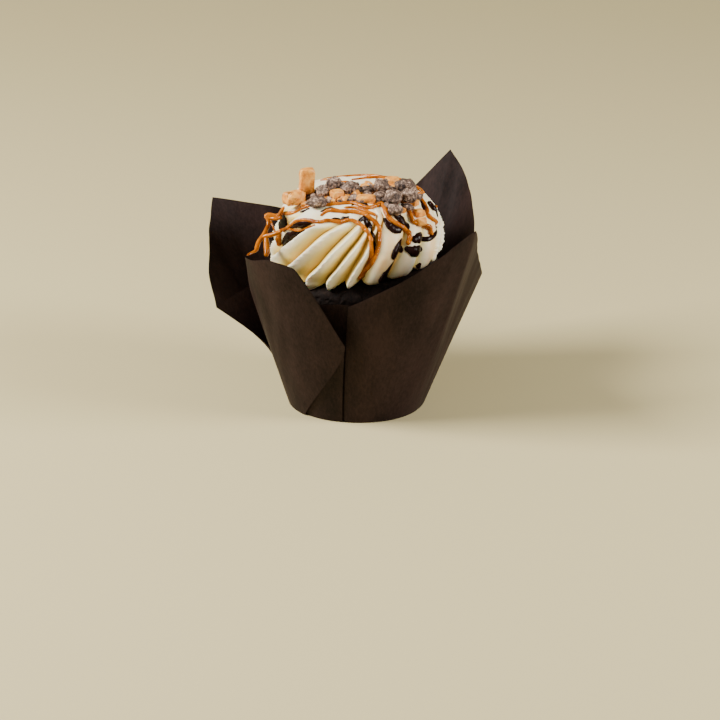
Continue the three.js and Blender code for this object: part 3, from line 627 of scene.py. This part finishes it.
# %% Routes of the chocolate sauce: azimuth, share and half width
SAUCE = [
    [(-162.5, 0.57, 1.4), (-165, 0.51, 1.8), (-168, 0.455, 1.6)],
    [(-145, 0.53, 0.3), (-139.3, 0.57, 0.8), (-132.4, 0.605, 0.95), (-127, 0.627, 0.8), (-123, 0.637, 0.3)],
    [
        (-158.7, 0.345, 0.4), (-153.3, 0.412, 0.9), (-148, 0.463, 1.2), (-142.8, 0.495, 1.2),
        (-137, 0.517, 0.8), (-127.6, 0.552, 0.3),
    ],
    [(-119.7, 0.73, 0.3), (-114, 0.76, 0.55), (-106.2, 0.76, 0.4)],
    [(-141.3, 0.682, 0.3), (-137.6, 0.703, 0.6), (-133.3, 0.723, 0.4)],
    [(-109, 0.66, 0.4), (-105.2, 0.675, 0.7), (-101.8, 0.68, 0.4)],
    [(-100.4, 0.665, 0.6), (-97.7, 0.685, 0.95), (-94.8, 0.698, 0.5)],
    [(-86, 0.655, 0.5), (-82.7, 0.68, 0.85), (-79.8, 0.677, 0.6)],
    [(-81.6, 0.67, 0.7), (-79.7, 0.637, 1.0), (-78.3, 0.613, 1.0), (-77.5, 0.595, 0.6)],
    [
        (-77.5, 0.603, 0.35), (-77, 0.555, 0.35), (-77, 0.54, 0.5), (-76.5, 0.512, 0.85), (-75.3, 0.45, 0.45),
        (-75.6, 0.425, 0.35), (-75.8, 0.4, 0.7), (-76.2, 0.375, 0.95), (-77, 0.345, 0.5),
    ],
    [
        (-65, 0.657, 0.35), (-64.8, 0.618, 0.8), (-63.2, 0.583, 1.3), (-60.5, 0.55, 1.5), (-57, 0.535, 1.2),
        (-54.4, 0.54, 0.6),
    ],
    [(-54.5, 0.665, 1.2), (-52.8, 0.627, 1.5), (-51, 0.578, 1.2)],
    [(-56, 0.455, 0.35), (-59, 0.415, 1.0), (-61.8, 0.362, 1.6), (-63.2, 0.325, 1.6)],
    [(-56, 0.38, 0.3), (-56.7, 0.35, 0.5), (-57.2, 0.333, 0.4)],
    [(-52.8, 0.345, 1.1), (-49.8, 0.322, 1.8), (-44.6, 0.303, 1.9), (-41, 0.305, 1.3)],
    [(-47, 0.418, 1.3), (-43.6, 0.418, 1.8), (-41, 0.424, 1.5)],
    [(-39.5, 0.40, 0.9), (-34.5, 0.368, 0.85), (-27.4, 0.372, 0.8), (-18, 0.4, 0.7), (-16, 0.448, 0.5)],
    [(-62.6, 0.275, 0.3), (-66.4, 0.225, 0.8), (-69.6, 0.165, 1.3), (-71.4, 0.11, 1.4)],
    [(-41.5, 0.14, 0.5), (-42.3, 0.107, 0.7)],
    [(-16.2, 0.693, 0.6), (-20.3, 0.65, 0.8), (-23, 0.618, 0.5)],
    [(-49.3, 0.6, 0.5), (-48.3, 0.552, 0.7), (-48.7, 0.52, 0.4)],
    [(-34, 0.655, 0.4), (-32, 0.618, 0.6)],
    [(-4, 0.6, 1.2), (-4.5, 0.54, 1.6), (-5.5, 0.48, 1.2)],
    [(-92, 0.805, 0.3), (-85, 0.823, 0.45), (-76.7, 0.812, 0.45), (-74.6, 0.78, 0.3)],
    [(140, 0.42, 0.5), (128, 0.52, 1.0), (112, 0.54, 0.7)],
    [(84, 0.58, 0.5), (70, 0.52, 1.1), (58, 0.4, 0.8)],
    [(40, 0.62, 0.7), (24, 0.58, 1.0), (14, 0.42, 0.5)],
    [(20, 0.3, 0.4), (17, 0.24, 1.1)],
    [(100, 0.34, 0.4), (96, 0.26, 1.2)],
    [(165, 0.3, 1.1), (172, 0.36, 0.5)],
]

# %% Round strands
STRAND_STEP = 0.3
PLACE_GAP = 8  # millimetres allowed between two listed places of a route
AIR_LENGTH = 12  # millimetres allowed for a strand in the air
BEVEL_ROUNDS = 4


def resampled(rows, length):
    """Rows along a smooth curve, closely spaced for a route of about this length."""
    count = max(6, round(length / STRAND_STEP))
    return [along(rows, i / count) for i in range(count + 1)]


def rounded_ends(points):
    """Closes both ends of a route of (place, radius, ...) points in a round tip."""
    walked = [0.0]
    for a, b in zip(points, points[1:]):
        walked.append(walked[-1] + (b[0] - a[0]).length)
    total = walked[-1]
    tips = []
    for (place, radius, *rest), walk in zip(points, walked):
        near = min(min(walk, total - walk) / max(radius, 0.05), 1)
        tips.append((place, max(radius * math.sqrt(1 - (1 - near) ** 2), 0.01), *rest))
    return tips


def strand_mesh(routes, name):
    """Turns routes of (place, radius, ...) points into one mesh of round strands."""
    curve = bpy.data.curves.new(name, "CURVE")
    curve.dimensions = "3D"
    curve.bevel_depth = MM
    curve.bevel_resolution = BEVEL_ROUNDS
    for route in routes:
        spline = curve.splines.new("POLY")
        spline.points.add(len(route) - 1)
        for point, (place, radius, *_) in zip(spline.points, route):
            point.co = (*(place * MM), 1)
            point.radius = radius
    holder = put(name, curve)
    shaped = holder.evaluated_get(bpy.context.evaluated_depsgraph_get())
    bm = bmesh.new()
    bm.from_mesh(bpy.data.meshes.new_from_object(shaped))
    bpy.data.objects.remove(holder)
    bpy.data.curves.remove(curve)
    bmesh.ops.holes_fill(bm, edges=bm.edges[:], sides=0)
    bmesh.ops.recalc_face_normals(bm, faces=bm.faces[:])
    return bm


# %% Mould the sauce on the frosting
DROP_SWELL = 0.5
DROP_SKIN = 0.12
DROP_ROOT = 0.4
RAY_START = 9
RAY_LENGTH = 20


def drape_drops(bm, routes):
    """Moulds strands on the frosting: their outer half swells from its skin, and the rest sinks in."""
    skin = BVHTree.FromObject(swirl_piece, bpy.context.evaluated_depsgraph_get())
    middles = [point for route in routes for point in route]
    nearest = KDTree(len(middles))
    for i, point in enumerate(middles):
        nearest.insert(point[0] * MM, i)
    nearest.balance()
    for vert in bm.verts:
        middle, _, outward = middles[nearest.find(vert.co)[1]]
        swell = (vert.co / MM - middle).dot(outward)
        above = vert.co + outward * (RAY_START - swell) * MM
        touched = skin.ray_cast(above, -outward, RAY_LENGTH * MM)[0]
        if touched:
            proud = DROP_SWELL * swell + DROP_SKIN if swell > 0 else DROP_ROOT * swell
            vert.co = touched + outward * proud * MM
    bmesh.ops.smooth_vert(
        bm, verts=bm.verts[:], factor=0.5, use_axis_x=True, use_axis_y=True, use_axis_z=True,
    )
    bmesh.ops.recalc_face_normals(bm, faces=bm.faces[:])


# %% Routes over the swirl
def lengthened(rows):
    """Adds a row beyond each end, so that the round tips reach past the listed places."""
    ends = []
    for a, b in ((rows[0], rows[1]), (rows[-1], rows[-2])):
        gap = (swirl_frame(*a[:2])[0] - swirl_frame(*b[:2])[0]).length
        ends.append((*(p + (p - q) * a[2] / gap for p, q in zip(a[:2], b[:2])), a[2]))
    return [ends[0], *rows, ends[1]]


def swirl_top(x, y):
    """The frame of the swirl under a place of the plan, found by halving the share of its outline."""
    azimuth = math.degrees(math.atan2(y, x - SWIRL_CENTRE_X))
    radius = math.hypot(x - SWIRL_CENTRE_X, y)
    low, high = 0.45, 1.0  # from the swirl's shoulder to the middle of its top
    for _ in range(16):
        middle = (low + high) / 2
        if along(SWIRL_OUTLINE, middle)[0] > radius:
            low = middle
        else:
            high = middle
    return swirl_frame(azimuth, low)


def around_index(values, i, reach):
    return values[max(i - reach, 0) : i + reach + 1]


def mean(values):
    return sum(values) / len(values)


def swirl_route(rows, seed, span, lift, widen):
    """A route over the swirl as (place, radius, outward) points, level over the ridges within a span."""
    rows = lengthened(rows)
    steps = resampled(rows, PLACE_GAP * (len(rows) - 1))
    frames = [swirl_frame(azimuth, share) for azimuth, share, _ in steps]
    reliefs = [relief for _, _, relief in frames]
    heights = []
    for i, relief in enumerate(reliefs):
        near = around_index(reliefs, i, round(span / STRAND_STEP))
        heights.append(max(relief, mix(mean(near), max(near), 0.75)))
    points = []
    for i, ((spot, outward, _), (_, _, half_width)) in enumerate(zip(frames, steps)):
        slow = noise.noise(Vector((i * 0.07, seed, 0)))
        quick = noise.noise(Vector((i * 0.3, seed, 5)))
        radius = half_width * widen * (1 + 0.2 * slow + 0.12 * quick)
        points.append((spot + outward * (mean(around_index(heights, i, 4)) + lift * radius), radius, outward))
    return rounded_ends(points)


# %% Lay the caramel
CARAMEL_LIFT = 0.3


def top_route(rows):
    points = []
    for x, y, half_width in resampled(rows, PLACE_GAP * (len(rows) - 1)):
        place, outward, relief = swirl_top(x, y)
        points.append((place + outward * (relief + CARAMEL_LIFT * half_width), half_width, outward))
    return rounded_ends(points)


def air_route(rows):
    return rounded_ends([(Vector(place), radius) for *place, radius in resampled(rows, AIR_LENGTH)])


caramel_routes = [
    swirl_route(rows, i, span=2.6, lift=CARAMEL_LIFT, widen=1.04) for i, rows in enumerate(CARAMEL)
]
caramel_routes += [top_route(rows) for rows in TOP_CARAMEL]
caramel_routes += [air_route(rows) for rows in HANGING_CARAMEL]
caramel = piece_from(strand_mesh(caramel_routes, "caramel"), "caramel_drizzle", "caramel", "frosting")

# %% Drop the sauce
sauce_routes = [swirl_route(rows, 30 + i, span=0.6, lift=0, widen=1.2) for i, rows in enumerate(SAUCE)]
sauce_mesh = strand_mesh(sauce_routes, "sauce")
drape_drops(sauce_mesh, sauce_routes)
sauce = piece_from(sauce_mesh, "chocolate_sauce", "chocolate_sauce", "frosting")

# %% [markdown]
# ## The chunks
# Broken toffee has flat glassy faces with crisp edges, and the chocolate lumps are rounder, dusted and
# rough. Their solids already have the right form, so each chunk starts from a copy of its own solid:
# merged, bevelled, divided and then roughened, which keeps every chunk in its place in the heap.

# %% Finish each chunk from its solid
BEVEL_WIDTH = 0.3
FLAT_ENOUGH = math.radians(9)
LONGEST_EDGE = 0.45


def chunk_from_solid(node, dent, grain):
    """A copy of a solid with soft edges, dents and grain, all in millimetres."""
    bm = bmesh.new()
    bm.from_mesh(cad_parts[node].data)
    bmesh.ops.remove_doubles(bm, verts=bm.verts[:], dist=0.01 * MM)
    bmesh.ops.dissolve_limit(bm, angle_limit=FLAT_ENOUGH, verts=bm.verts[:], edges=bm.edges[:])
    bmesh.ops.bevel(
        bm, geom=bm.edges[:], offset=BEVEL_WIDTH * MM, offset_type="OFFSET", segments=2,
        profile=0.5, affect="EDGES", material=-1, clamp_overlap=True,
    )
    bmesh.ops.triangulate(bm, faces=bm.faces[:])
    for _ in range(2):
        long_edges = [edge for edge in bm.edges if edge.calc_length() > LONGEST_EDGE * MM]
        bmesh.ops.subdivide_edges(bm, edges=long_edges, cuts=1)
        bmesh.ops.triangulate(bm, faces=bm.faces[:])
    bm.normal_update()
    for vert in bm.verts:
        spot = vert.co / MM
        coarse = noise.noise(spot * 0.42)
        fine = noise.noise(spot * 1.3) + 0.6 * noise.noise(spot * 3.1)
        vert.co += vert.normal * (dent * coarse + grain * fine) * MM
    return bm


toffee_pieces, chocolate_pieces = [], []
for node in sorted(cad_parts):
    if node.startswith("toffee"):
        chunk = chunk_from_solid(node, dent=0.25, grain=0.07)
        toffee_pieces.append(piece_from(chunk, node + "_piece", "toffee", node))
    elif node.startswith("choc"):
        chunk = chunk_from_solid(node, dent=0.8, grain=0.3)
        chocolate_pieces.append(piece_from(chunk, node + "_piece", "chocolate", node))

# %% [markdown]
# ## Small bits
# Between the chunks lies a layer of smaller broken pieces. Those that can be told apart are placed one
# by one, and crumbs fill the gaps by a rule: a golden-angle spiral over the heap, nudged by a seeded
# draw. Each is a cube or a ball of a few faces with its corners pushed about, because it is repeated
# many times, and all the bits of one kind are joined into one piece.

# %% Places of the bits: x, y and size in millimetres
TOFFEE_PLACES = [
    (13.0, 7.6, 3.5), (3.2, -1.4, 3.4), (-0.7, -10.2, 3.8), (1.4, -16.0, 3.4), (5.1, -15.5, 3.2),
    (13.9, -0.2, 2.9), (-6.1, -12.8, 3.0), (-5.8, -16.0, 2.4), (22.7, -16.0, 3.8), (22.9, -18.6, 3.8),
    (-7.6, -11.8, 2.6), (-10.7, -12.4, 2.6), (-17.4, -14.0, 2.4), (-1.7, 5.1, 2.2), (21.3, -13.2, 3.4),
    (8.6, 2.0, 3.0), (-20.5, -14.4, 3.0), (4.6, 3.4, 2.6), (-4.2, -15.4, 3.4), (-12.4, -14.6, 2.4),
    (8.8, -9.2, 3.0), (16.8, -19.6, 2.8), (-14.4, -14.2, 2.6), (11.6, 6.0, 3.0), (-8.8, 4.0, 2.6),
    (-8.8, -15.6, 2.2), (3.2, -13.0, 2.6),
]
CHOCOLATE_PLACES = [
    (5.3, -6.8, 3.8), (-5.4, -4.2, 4.2), (0.2, -4.2, 3.8), (-2.5, -15.8, 3.2), (-0.4, -15.0, 3.2),
    (-9.9, -14.6, 3.0), (8.1, -15.9, 3.2), (8.9, -12.4, 3.8), (8.2, -4.0, 3.4), (-11.6, 0.6, 3.2),
    (16.7, 4.4, 4.2), (18.6, -17.2, 3.6), (22.6, -8.4, 3.8), (-17.6, -10.6, 3.2), (-1.0, -12.6, 3.2),
    (12.6, -3.6, 3.8), (4.4, -10.6, 3.4), (-5.4, -1.0, 3.4), (-18.6, -15.0, 2.6), (11.6, -19.6, 3.2),
    (17.8, -9.4, 4.0), (21.4, -3.2, 3.4), (-14.6, -14.8, 2.6), (-6.4, -14.4, 2.6),
]
HEAP_CENTRE = (-0.6, -7.2)
HEAP_HALF_SIZE = (23.5, 10.6)
GOLDEN_ANGLE = 137.5
BIT_REST = 0.28  # how high a bit's centre rests, in parts of its size


# %% Break the bits
def add_bit(bm, x, y, size, draw, angular):
    """One bit on the frosting: a cube with cut corners for toffee, a dented ball for chocolate."""
    place, outward, relief = swirl_top(x, y)
    centre = place + outward * (relief + size * BIT_REST)
    if angular:
        made = bmesh.ops.create_cube(bm, size=0.86)["verts"]
        edges = list({edge for vert in made for edge in vert.link_edges})
        cut = bmesh.ops.bevel(
            bm, geom=edges, offset=0.13, segments=1, profile=0.5, affect="EDGES", material=-1,
        )
        made = list({vert for face in cut["faces"] for vert in face.verts} | {v for v in made if v.is_valid})
    else:
        made = bmesh.ops.create_icosphere(bm, subdivisions=2, radius=0.5)["verts"]
    stretch = Vector((1 + 0.45 * draw.random(), 1, 0.65 + 0.3 * draw.random()))
    spin = Matrix.Rotation(draw.random() * math.tau, 3, "Z")
    turn = spin @ Matrix.Rotation(draw.random() * 0.9 - 0.45, 3, "X")
    shift = Vector((draw.random() * 50, 0, 0))
    for vert in made:
        dent = 1 + (0.24 if angular else 0.34) * noise.noise(vert.co * 2.2 + shift)
        dent += 0 if angular else 0.16 * noise.noise(vert.co * 5.5 + shift)
        vert.co = (centre + turn @ (vert.co * stretch) * size * dent) * MM


def broken_bits(places, count, sizes, seed, angular):
    """The listed bits, then a count of crumbs over the whole heap, most of them small."""
    draw = random.Random(seed)
    bm = bmesh.new()
    for x, y, size in places:
        add_bit(bm, x, y, size, draw, angular)
    for i in range(count):
        spread = math.sqrt((i + 0.5) / count) * (0.94 + 0.12 * draw.random())
        spot = polar(GOLDEN_ANGLE * i + 30 * draw.random(), spread, 0)
        x = HEAP_CENTRE[0] + HEAP_HALF_SIZE[0] * spot.x
        y = HEAP_CENTRE[1] + HEAP_HALF_SIZE[1] * spot.y
        add_bit(bm, x, y, mix(*sizes, draw.random() ** 1.6), draw, angular)
    return bm


bits = broken_bits(TOFFEE_PLACES, count=80, sizes=(0.9, 2.8), seed=4, angular=True)
toffee_bits = piece_from(bits, "toffee_bits", "toffee", "frosting", smooth=False)
bits = broken_bits(CHOCOLATE_PLACES, count=110, sizes=(0.9, 3.2), seed=9, angular=False)
chocolate_bits = piece_from(bits, "chocolate_bits", "chocolate", "frosting")

# %% [markdown]
# ## Finishes
# Every finish is built from noise on Object coordinates, so a pattern sits still on its piece, and no
# picture has to be unwrapped on it. Scales are per metre here: a noise scale of 1000 makes marks about a
# millimetre wide. Saturated colours fade a little in the finished picture, so the colours set here are
# darker and purer than they look.

# %% Tools for finishes
def feed(material, node, **inputs):
    """Links outputs to a node's inputs or sets plain values; _ in a name stands for a space."""
    for name, value in inputs.items():
        socket = node.inputs[name.replace("_", " ")]
        if isinstance(value, bpy.types.NodeSocket):
            material.node_tree.links.new(value, socket)
        else:
            socket.default_value = value
    return node


def finish(name, **inputs):
    """A new material whose Principled shader has these values."""
    material = bpy.data.materials.new(name)
    material.use_nodes = True
    feed(material, material.node_tree.nodes["Principled BSDF"], **inputs)
    return material


def add_node(material, kind, **inputs):
    return feed(material, material.node_tree.nodes.new("ShaderNode" + kind), **inputs)


def noise_in(material, scale, detail=4, roughness=0.5, stretch=(1, 1, 1)):
    where = add_node(material, "TexCoord").outputs["Object"]
    where = add_node(material, "Mapping", Vector=where, Scale=stretch).outputs["Vector"]
    texture = add_node(material, "TexNoise", Vector=where, Scale=scale, Detail=detail, Roughness=roughness)
    return texture.outputs["Fac"]


def attribute(material, name):
    node = add_node(material, "Attribute")
    node.attribute_name = name
    return node.outputs["Fac"]


def mixed(material, factor, a, b, data_type="FLOAT", blend_type="MIX"):
    node = add_node(material, "Mix")
    node.data_type, node.blend_type = data_type, blend_type
    return feed(material, node, Factor=factor, A=a, B=b).outputs["Result"]


def ramp(material, source, *stops):
    """Colours from a grey source; stops are (place, linear colour)."""
    node = add_node(material, "ValToRGB", Fac=source)
    elements = node.color_ramp.elements
    while len(elements) < len(stops):
        elements.new(0.5)
    for element, (place, colour) in zip(elements, stops):
        element.position = place
        element.color = (*colour, 1)
    return node.outputs["Color"]


def paint(material, colour, *bumps):
    """Sets the colour, and chains bumps of (height, distance in millimetres, strength)."""
    normal = {}
    for height, distance, strength in bumps:
        bump = add_node(material, "Bump", Height=height, Distance=distance * MM, Strength=strength, **normal)
        normal = {"Normal": bump.outputs["Normal"]}
    feed(material, material.node_tree.nodes["Principled BSDF"], Base_Color=colour, **normal)


def wear(material, *pieces):
    for piece in pieces:
        piece.data.materials.clear()
        piece.data.materials.append(material)
    print(material.name, "on", ", ".join(piece.name for piece in pieces))


# %% [markdown]
# ### Paper
# Greaseproof paper is dull, with a faint cloud from one place to the next and fine fibres across it.
# Two noises of very different scale, mixed, give both. The fibres also lift a bump too fine to model.

# %% Brown greaseproof paper
brown_paper = finish("brown_paper", Roughness=0.6, Specular_IOR_Level=0.09)
fibres = noise_in(brown_paper, 1100, 6, 0.65, (1, 1, 0.3))
clouds = noise_in(brown_paper, 70, 3, 0.5, (1, 1, 0.3))
crinkle = noise_in(brown_paper, 170, 4, 0.55, (1, 1, 0.6))
tone = mixed(brown_paper, 0.45, clouds, fibres)
brown = ramp(brown_paper, tone, (0.36, (0.0074, 0.0037, 0.0031)), (0.64, (0.029, 0.0153, 0.0134)))
paint(brown_paper, brown, (crinkle, 0.5, 0.3), (fibres, 0.08, 0.7))
wear(brown_paper, paper)

# %% [markdown]
# ### Cake and frosting
# Dark cocoa crumb drinks the light, so it is nearly black with a rough grain. Buttery frosting lets
# some light in. Its colour holds painted light: a painted white highlight along each crest and painted
# yellow shade deep in each valley. No noise could know where those are, so the swirl's mesh carries
# the depth into the valleys as the attribute hollow. A second attribute marks where caramel soaked into
# the frosting and where the warm light reflected from the caramel is painted on it.

# %% Dark crumb
dark_crumb = finish("dark_crumb", Roughness=0.8, Specular_IOR_Level=0.2)
crumb = noise_in(dark_crumb, 700, 5, 0.65)
cocoa = ramp(dark_crumb, crumb, (0.35, (0.004, 0.0018, 0.0011)), (0.7, (0.018, 0.0085, 0.0052)))
paint(dark_crumb, cocoa, (crumb, 0.35, 0.8))
wear(dark_crumb, cake_piece)

# %% Cream frosting, with painted highlight on its crests and painted shade in its valleys
# Colour of the soaked-in caramel and of the painted warm reflection from the caramel.
CARAMEL_STAIN_AND_REFLECTION_COLOUR = (1.0, 0.70, 0.36, 1)
frosting = finish(
    "cream_frosting", Roughness=0.45, Specular_IOR_Level=0.4,
    Subsurface_Weight=0.2, Subsurface_Scale=0.002, Subsurface_Radius=(1.0, 0.6, 0.25),
)
cream = noise_in(frosting, 90, 3)
cream = ramp(frosting, cream, (0.3, (0.90, 0.82, 0.60)), (0.7, (0.94, 0.88, 0.69)))
# Painted highlight and shade: white along the crests, yellow deep in the valleys.
painted_crest_highlight_and_valley_shade = ramp(
    frosting, attribute(frosting, "hollow"),
    (0.04, (1.0, 1.0, 1.0)), (0.2, (0.98, 0.94, 0.78)), (0.55, (0.88, 0.75, 0.34)), (1.0, (0.62, 0.38, 0.07)),
)
cream = mixed(frosting, 1, cream, painted_crest_highlight_and_valley_shade, "RGBA", "MULTIPLY")
# Multiplies in the soaked-in caramel and the painted reflection of the caramel's warm light.
cream = mixed(frosting, attribute(frosting, "caramel_stain_and_reflection"), cream, CARAMEL_STAIN_AND_REFLECTION_COLOUR, "RGBA", "MULTIPLY")
paint(frosting, cream, (noise_in(frosting, 1100, 3, 0.6), 0.05, 0.4))
wear(frosting, swirl_piece)

# %% [markdown]
# ### Caramel and sauce
# Both are smooth and wet, so each has a low roughness under a thin clear coat. Real caramel is clear
# and gets its depth from what is behind it. Strands this thin would only look weak in glass, so an amber
# that varies along the strand stands in for that depth.

# %% Amber caramel
amber = finish(
    "amber_caramel", Roughness=0.12, Specular_IOR_Level=0.15, Coat_Weight=0.3, Coat_Roughness=0.03,
)
depth = noise_in(amber, 260, 3)
gold = ramp(amber, depth, (0.3, (0.20, 0.040, 0.0)), (0.7, (0.56, 0.16, 0.0)))
paint(amber, gold, (depth, 0.15, 0.3))
wear(amber, caramel)

# %% Dark chocolate sauce
dark_sauce = finish(
    "dark_sauce", Roughness=0.22, Specular_IOR_Level=0.06, Coat_Weight=0.12, Coat_Roughness=0.04,
)
depth = noise_in(dark_sauce, 300, 3)
brown = ramp(dark_sauce, depth, (0.3, (0.005, 0.0014, 0.001)), (0.7, (0.018, 0.0055, 0.0042)))
paint(dark_sauce, brown, (depth, 0.12, 0.35))
wear(dark_sauce, sauce)

# %% [markdown]
# ### Toffee and dusted chocolate
# Toffee breaks into glassy faces, pale where the sugar is fine and amber where it is clear. The
# chocolate lumps rubbed against each other, which left patches of pale dust with dark chocolate
# between them: a sharp ramp over two noises makes that contrast.

# %% Butter toffee
toffee = finish("butter_toffee", Roughness=0.36, Specular_IOR_Level=0.35)
sugar = noise_in(toffee, 420, 4, 0.6)
gold = ramp(toffee, sugar, (0.3, (0.46, 0.135, 0.015)), (0.5, (0.76, 0.30, 0.045)), (0.7, (0.94, 0.49, 0.12)))
paint(toffee, gold, (sugar, 0.15, 0.4))
wear(toffee, *toffee_pieces, toffee_bits)

# %% Dusted chocolate
chocolate = finish("dusted_chocolate", Roughness=0.7)
dust = noise_in(chocolate, 900, 6, 0.75)
patches = noise_in(chocolate, 240, 3)
dusted = ramp(
    chocolate, mixed(chocolate, 0.7, patches, dust),
    (0.41, (0.016, 0.007, 0.005)), (0.51, (0.12, 0.070, 0.047)), (0.605, (0.58, 0.40, 0.29)),
)
paint(chocolate, dusted, (dust, 0.35, 0.8))
wear(chocolate, *chocolate_pieces, chocolate_bits)

# %% [markdown]
# ## Floor, light and camera
# A pale sweep runs from the floor up behind the cupcake, so there is no horizon: one edge is pulled
# sideways and a Subdivision Surface modifier rounds its bend. A large soft light at the upper left
# models the ridges, a weaker one at the right lightens that side, and a faint one in front opens the
# shadows. The camera looks down at about twenty degrees through a long lens, which keeps the petals in
# proportion.

# %% Pale sweep
SWEEP_COLOUR = (0.56, 0.48, 0.255)
SWEEP_WIDTH = 5.0
SWEEP_SIDE = [(-2.0, 0.0), (0.6, 0.0), (0.9, 0.05), (1.1, 0.2), (1.2, 0.5), (1.25, 2.5)]  # y and z
sweep = bmesh.new()
row = [sweep.verts.new((-SWEEP_WIDTH / 2, y, z)) for y, z in SWEEP_SIDE]
strip = [sweep.edges.new(pair) for pair in zip(row, row[1:])]
pulled = bmesh.ops.extrude_edge_only(sweep, edges=strip)
bmesh.ops.translate(sweep, verts=verts_in(pulled["geom"]), vec=(SWEEP_WIDTH, 0, 0))
bmesh.ops.recalc_face_normals(sweep, faces=sweep.faces[:])
pale_sweep = object_from(sweep, "pale_sweep")
soft_bend = pale_sweep.modifiers.new("soft_bend", "SUBSURF")
soft_bend.levels = soft_bend.render_levels = 3
wear(finish("pale_card", Roughness=0.9, Base_Color=(*SWEEP_COLOUR, 1)), pale_sweep)

# %% Soft light
AIM = Vector((0, 0, 0.05))
ROOM_COLOUR = (1.0, 0.96, 0.88)
ROOM_STRENGTH = 0.13


def soft_light(name, place, size, power, colour):
    """A square soft light turned towards the middle of the cupcake."""
    light = bpy.data.lights.new(name, "AREA")
    light.size = size
    light.energy = power
    light.color = colour
    lamp = put(name, light)
    lamp.location = place
    lamp.rotation_euler = (AIM - Vector(place)).to_track_quat("-Z", "Y").to_euler()
    print(name, "at", place, "with", power, "W")


soft_light("left_light", (-0.85, -0.2, 0.75), size=0.5, power=31, colour=(1, 0.97, 0.92))
soft_light("right_light", (0.85, -0.28, 0.45), size=0.4, power=14, colour=(1, 0.97, 0.93))
soft_light("front_light", (0.1, -0.9, 0.8), size=0.9, power=0.7, colour=(1, 0.97, 0.93))
room = bpy.data.worlds.new("room")
room.use_nodes = True
feed(room, room.node_tree.nodes["Background"], Color=(*ROOM_COLOUR, 1), Strength=ROOM_STRENGTH)
bpy.context.scene.world = room

# %% Camera in front, a little above the cupcake
CAMERA_PLACE = (0.0014, -0.9304, 0.3665)
CAMERA_DOWN = 20.37
LENS = 127
SENSOR = 36
view = bpy.data.cameras.new("table_view")
view.lens = LENS
view.sensor_width = SENSOR
camera = put("table_view", view)
camera.location = CAMERA_PLACE
camera.rotation_euler = (math.radians(90 - CAMERA_DOWN), 0, 0)
bpy.context.scene.camera = camera
